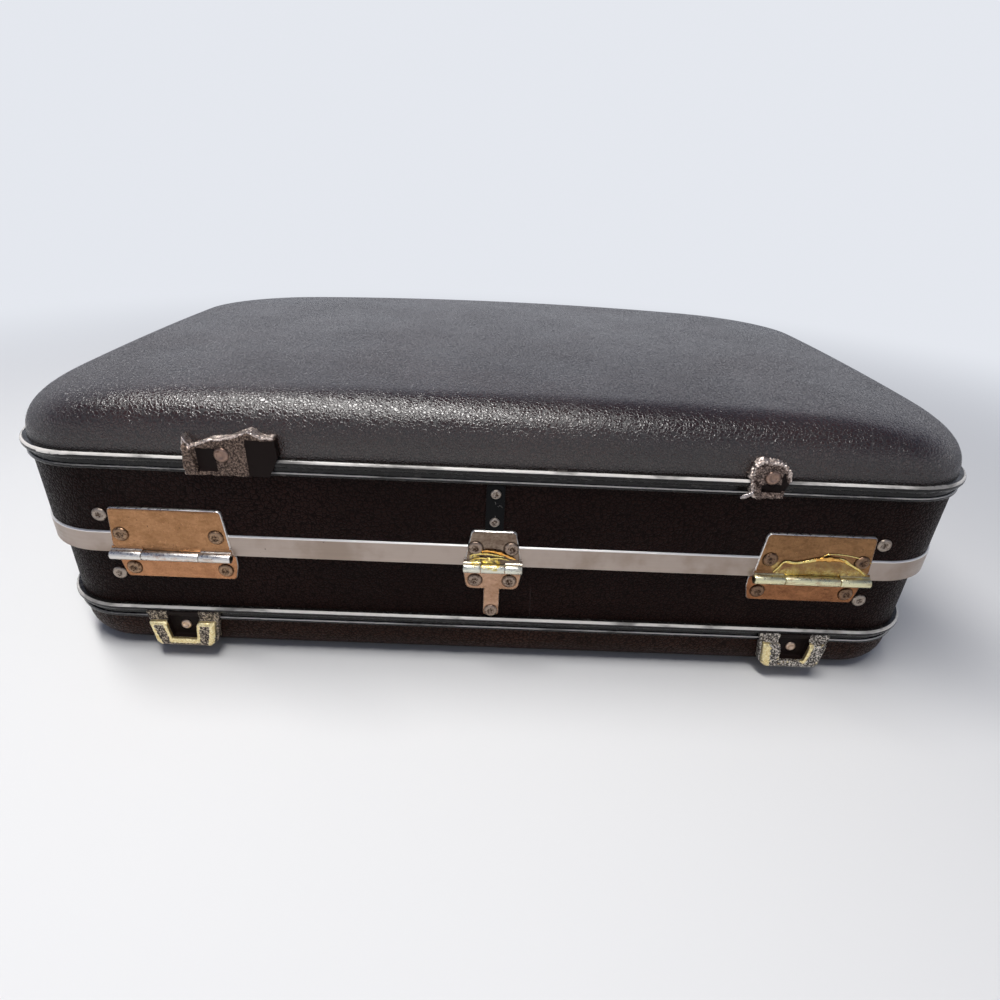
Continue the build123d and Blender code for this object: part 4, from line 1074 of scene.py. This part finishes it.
def break_marks(outline, centre_x, edge, painted_shade):
    """The bright broken edge of what is left of a foot, and the boxes where it is smooth and darkened with
    painted shade.
    """
    line = [Vector((centre_x + x * MM, stub_low + z * MM)) for x, z in outline]

    def mark(place):
        flat = Vector((place.x, place.z))
        gap = min(line_gap(flat, start, stop) for start, stop in zip(line, line[1:]))
        bright = 1.0 - gap / edge
        if bright > 0:
            return bright
        for low_x, high_x, low_z, high_z in painted_shade:
            across = (place.x - centre_x) / MM
            up = (place.z - stub_rivet_z) / MM
            if low_x < across < high_x and low_z < up < high_z:
                return -1.0
        return 0.0
    return mark


def press(piece, centre_x, dents):
    """Presses hollows into a broken foot, each given by its middle, half sizes and depth from the rivet."""
    rim, fade = 1.15, 0.25
    for vertex in piece.data.vertices:
        place = vertex.co
        for mid_x, mid_z, half_x, half_z, depth in dents:
            across = abs(place.x - centre_x - mid_x * MM) / (half_x * MM)
            upright = abs(place.z - stub_rivet_z - mid_z * MM) / (half_z * MM)
            reach = max(across, upright)
            floor_y = stub_face + depth * MM
            if reach < rim and place.y < floor_y:
                place.y += (floor_y - place.y) * min(1.0, (rim - reach) / fade)


gold_plating = ((0.74, 0.56, 0.22), (1.0, 0.90, 0.58))
bare_break = ((0.30, 0.22, 0.18), (0.80, 0.70, 0.64))
foot_looks = {
    "left": ((0.030, 0.021, 0.017), (0.55, 0.46, 0.35)),
    "right": ((0.045, 0.036, 0.030), (0.78, 0.72, 0.64)),
}
left_seed, right_seed = 3.1, 8.4
for side, seed in (("left", left_seed), ("right", right_seed)):
    finish = cast_foot("foot_" + side, *foot_looks[side], 0.055, gold_plating)
    cast("base_foot_" + side, "base", finish, 0.36, 9, 0.08, 0.14, seed, foot_marks(side))
left_x, right_x = stub_rivets

# Each broken foot: place, tones, skin, the line of the break and its bright edge, boxes of painted shade,
# dents
stub_looks = (
    ("left", left_x, (0.035, 0.021, 0.016), (0.30, 0.21, 0.16), 0.09, (0.36, 2, 0.35, 0.55, left_seed),
     left_break, 1.6, [(-12.5, -3.0, -9, 3.5), (13, 30, -13, 9)],
     [(-7.7, -2.5, 4.8, 6.0, 3.1), (21.0, -1.0, 7.5, 12.0, 2.6)]),
    ("right", right_x, (0.035, 0.020, 0.016), (0.36, 0.27, 0.225), 0.10, (0.34, 1, 0.80, 1.00, right_seed),
     right_break, 2.6, [(-4.5, 6.0, -8.5, -3.5), (5, 9, -7, 3)],
     [(0.5, -6.5, 5.5, 2.4, 3.0), (7.0, -1.0, 2.6, 4.6, 2.4)]),
)
for side, x, dark, light, contrast, skin, outline, edge, painted_shade, dents in stub_looks:
    finish = cast_foot("stub_" + side, dark, light, contrast, bare_break)
    marks = break_marks(outline, x, edge * MM, painted_shade)
    press(cast("lid_foot_" + side, "lid", finish, *skin, marks), x, dents)
sliver_finish = foil("sliver_metal", (0.26, 0.22, 0.21), (0.52, 0.47, 0.45))
sliver_bends = ((-14.8, -11.8), (-11.0, -10.2), (-7.0, -7.6))
sliver = [(right_x / MM + x, stub_rivet_z / MM + z) for x, z in sliver_bends]
sliver_y = stub_face + 2.2 * MM
peel("stub_sliver", sliver, sliver_y, 3.4 * MM, 0.8 * MM, sliver_finish, "lid", 5.3)


# Strap, latches and handle, with the width in millimetres and the steps of their rolled edges
rolled("lid_strap", "lid", painted_strap(), 0.28, 3)
for side in ("left", "right"):
    rolled("lock_box_" + side, "base", latch_finish, 0.25, 2)
    rolled("lock_slide_" + side, "slide_body_" + side, latch_finish, 0.18, 2)
    rolled("key_plug_" + side, "key_body_" + side, brass_finish, 0.15, 2)
    rolled("hasp_" + side, "hasp_body_" + side, latch_finish, 0.35, 3)
    rolled("hasp_bracket_" + side, "lid", latch_finish, 0.30, 3)
    rolled("handle_arm_" + side, "handle", latch_finish, 0.9, 4)
    rolled("handle_bracket_" + side, "base", latch_finish, 0.35, 3)
    rolled("buckle_" + side, "base", brass_finish, 0.5, 3)


def make_grip():
    """A moulded grip, fuller in the middle, with finger waves below and a seam all round."""
    low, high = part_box("handle_grip")
    centre = (low + high) / 2
    radius = (high.z - low.z) / 2
    half = (high.x - low.x) / 2
    stations = 90
    waves = 4
    rings = []
    for station in range(stations + 1):
        along = -1 + 2 * station / stations
        end = math.sqrt(max(1 - abs(along) ** 14, 0.0))
        taper = (0.80 + 0.20 * math.cos(along * quarter_turn)) * (0.30 + 0.70 * end)
        hold = (0.5 - 0.5 * math.cos(along * math.pi * waves)) * (1 - abs(along) ** 4)
        ring = []
        for cos, sin in circle(48):
            finger = 1 - 0.07 * hold * max(-sin, 0.0)
            seam = 1 - 0.035 * math.exp(-((cos / 0.05) ** 2))
            spread = radius * taper * finger * seam
            ring.append(centre + Vector((along * half, cos * spread, sin * spread)))
        rings.append(ring)
    piece = Piece("handle_grip_moulded")
    piece.skin(rings)
    piece.make(grip_finish, "handle", ("handle_grip",), 60.0)


make_grip()


# Linings, pocket and straps
def make_lining(name, node, body, up):
    """A cloth-covered liner: a thin shell with soft corners, a rolled hem and faint puckers."""
    low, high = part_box(node)
    inset = wall_high.x - high.x
    thickness = 1.2 * MM
    corner = wall_corner - inset
    edge, crown, top_corner = (
        (26.0 * MM, lid_crown, soft_corner - inset) if up else (14.0 * MM, 0.01 * MM, corner + 12 * MM)
    )
    rim, sign = (low.z, 1) if up else (high.z, -1)
    outer, inner = [
        dome_rings(inset + skin, 0.0, high.z - low.z - skin, edge - skin, corner - skin, top_corner, crown)
        for skin in (0.0, thickness)
    ]
    hem = []
    for cos, sin in arc(0, math.pi, 6):
        hem.append(level_ring(inset + thickness / 2 * (1 - cos), corner, 0.5 * MM * (1 - sin)))
    hem_reach = 15.0 * MM
    rings = list(reversed(outer[1:])) + hem + inner[1:]
    for row, ring in enumerate(rings):
        inside = row > len(outer) + 3
        for point in ring:
            if inside:
                pucker = noise.noise(point / (28 * MM))
                ripple = noise.noise(Vector((point.x, point.y, point.z * 0.3)) / (9 * MM))
                near_hem = max(0.0, 1 - point.z / hem_reach)
                point.z -= 0.25 * MM * (pucker * 0.5 + 0.5) + 0.1 * MM * ripple * near_hem
            point.z = rim + sign * point.z
    piece = Piece(name)
    piece.skin(rings)
    made = piece.make(lining_cloth, body, (node,))


make_lining("base_lining_cloth", "base_lining", "base", False)
make_lining("lid_lining_cloth", "lid_lining", "lid", True)


def make_pocket():
    """A gathered pocket on the ceiling of the lid: flat on three sides, ruched at its mouth."""
    low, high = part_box("lid_pocket")
    size = high - low
    columns, rows = 200, 60
    gathers = 34
    piece = Piece("lid_pocket_cloth")
    for row in range(rows + 1):
        along = row / rows
        y = low.y + size.y * along
        mouth = math.exp(-((1 - along) / 0.40) ** 2)
        elastic = math.exp(-((1 - along - 0.07) / 0.018) ** 2)
        for column in range(columns + 1):
            across = column / columns
            x = low.x + size.x * across
            edge = min(across, 1 - across, along * 0.6) * size.x
            puff = 1 - math.exp(-(edge / (7 * MM)) ** 2)
            wander = noise.noise(Vector((x / (30 * MM), y / (60 * MM), 2.0))) * 1.4
            wave = 0.5 + 0.5 * math.sin(across * gathers * math.tau + wander * 2.2)
            dent = 0.35 * noise.noise(Vector((x, y, 0)) / (12 * MM))
            depth = 1.3 + puff * (1.2 + mouth * 2.6 * wave + dent) - elastic * 1.1 * wave
            z = high.z - crown_drop(x, y, lid_crown) - depth * MM
            piece.points.append(Vector((x, y, z)))
    for row in range(rows):
        for column in range(columns):
            here = row * (columns + 1) + column
            piece.faces.append((here, here + 1, here + columns + 2, here + columns + 1))
    made = piece.make(pocket_cloth, "lid", ("lid_pocket",), 80.0)
    thick = made.modifiers.new("thickness", "SOLIDIFY")
    thick.thickness = 0.7 * MM
    thick.offset = -1.0


make_pocket()


def make_packing_strap(side):
    """A woven strap that lies on the floor of the base, with a soft wave and rounded selvedges."""
    low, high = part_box("packing_strap_" + side)
    half = (high.x - low.x) / 2
    middle = (low.x + high.x) / 2
    thickness = 1.3 * MM
    steps = 130
    selvedge = [(1.0, 0.5), (0.985, 0.86), (0.94, 1.0), (0.5, 0.93)]
    section = [(-across, rise) for across, rise in selvedge] + [(0.0, 0.96)] + selvedge[::-1]
    section += [(0.985, 0.14), (0.94, 0.0), (0.0, 0.0), (-0.94, 0.0), (-0.985, 0.14)]
    rings = []
    for step in range(steps + 1):
        y = low.y + (high.y - low.y) * step / steps
        wander = 0.8 * MM * noise.noise(Vector((middle * 9, y / (70 * MM), 0.5)))
        lift = 0.30 * MM * (0.5 + 0.5 * noise.noise(Vector((middle * 5, y / (35 * MM), 4.0))))
        lift *= 1 - math.exp(-((y - low.y) / (12 * MM)) ** 2)
        ring = []
        for across, rise in section:
            x = middle + across * (half - 0.8 * MM) + wander
            ring.append(Vector((x, y, low.z + lift + rise * thickness)))
        rings.append(ring)
    piece = Piece("packing_webbing_" + side)
    piece.skin(rings)
    made = piece.make(webbing_cloth, "base", ("packing_strap_" + side,))


make_packing_strap("left")
make_packing_strap("right")


# The rest of the CAD nodes keep their shapes and get their finishes
frame_finish = brushed("tongue_aluminium", (0.66, 0.63, 0.60), (0.50, 0.46, 0.42), 0.34)
pin_finish = plain_steel()
welt_finish = welt_plastic()
finishes = {
    "base_panel": bottom_leather, "lid_wall": wall_leather, "base_wall": wall_leather,
    "lid_welt": welt_finish, "base_welt": welt_finish, "lid_band": satin_aluminium(),
    "base_frame": frame_finish,
}
finishes.update({name: pin_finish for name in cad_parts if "_pin" in name})
for name, material in finishes.items():
    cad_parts[name].data.materials.clear()
    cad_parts[name].data.materials.append(material)
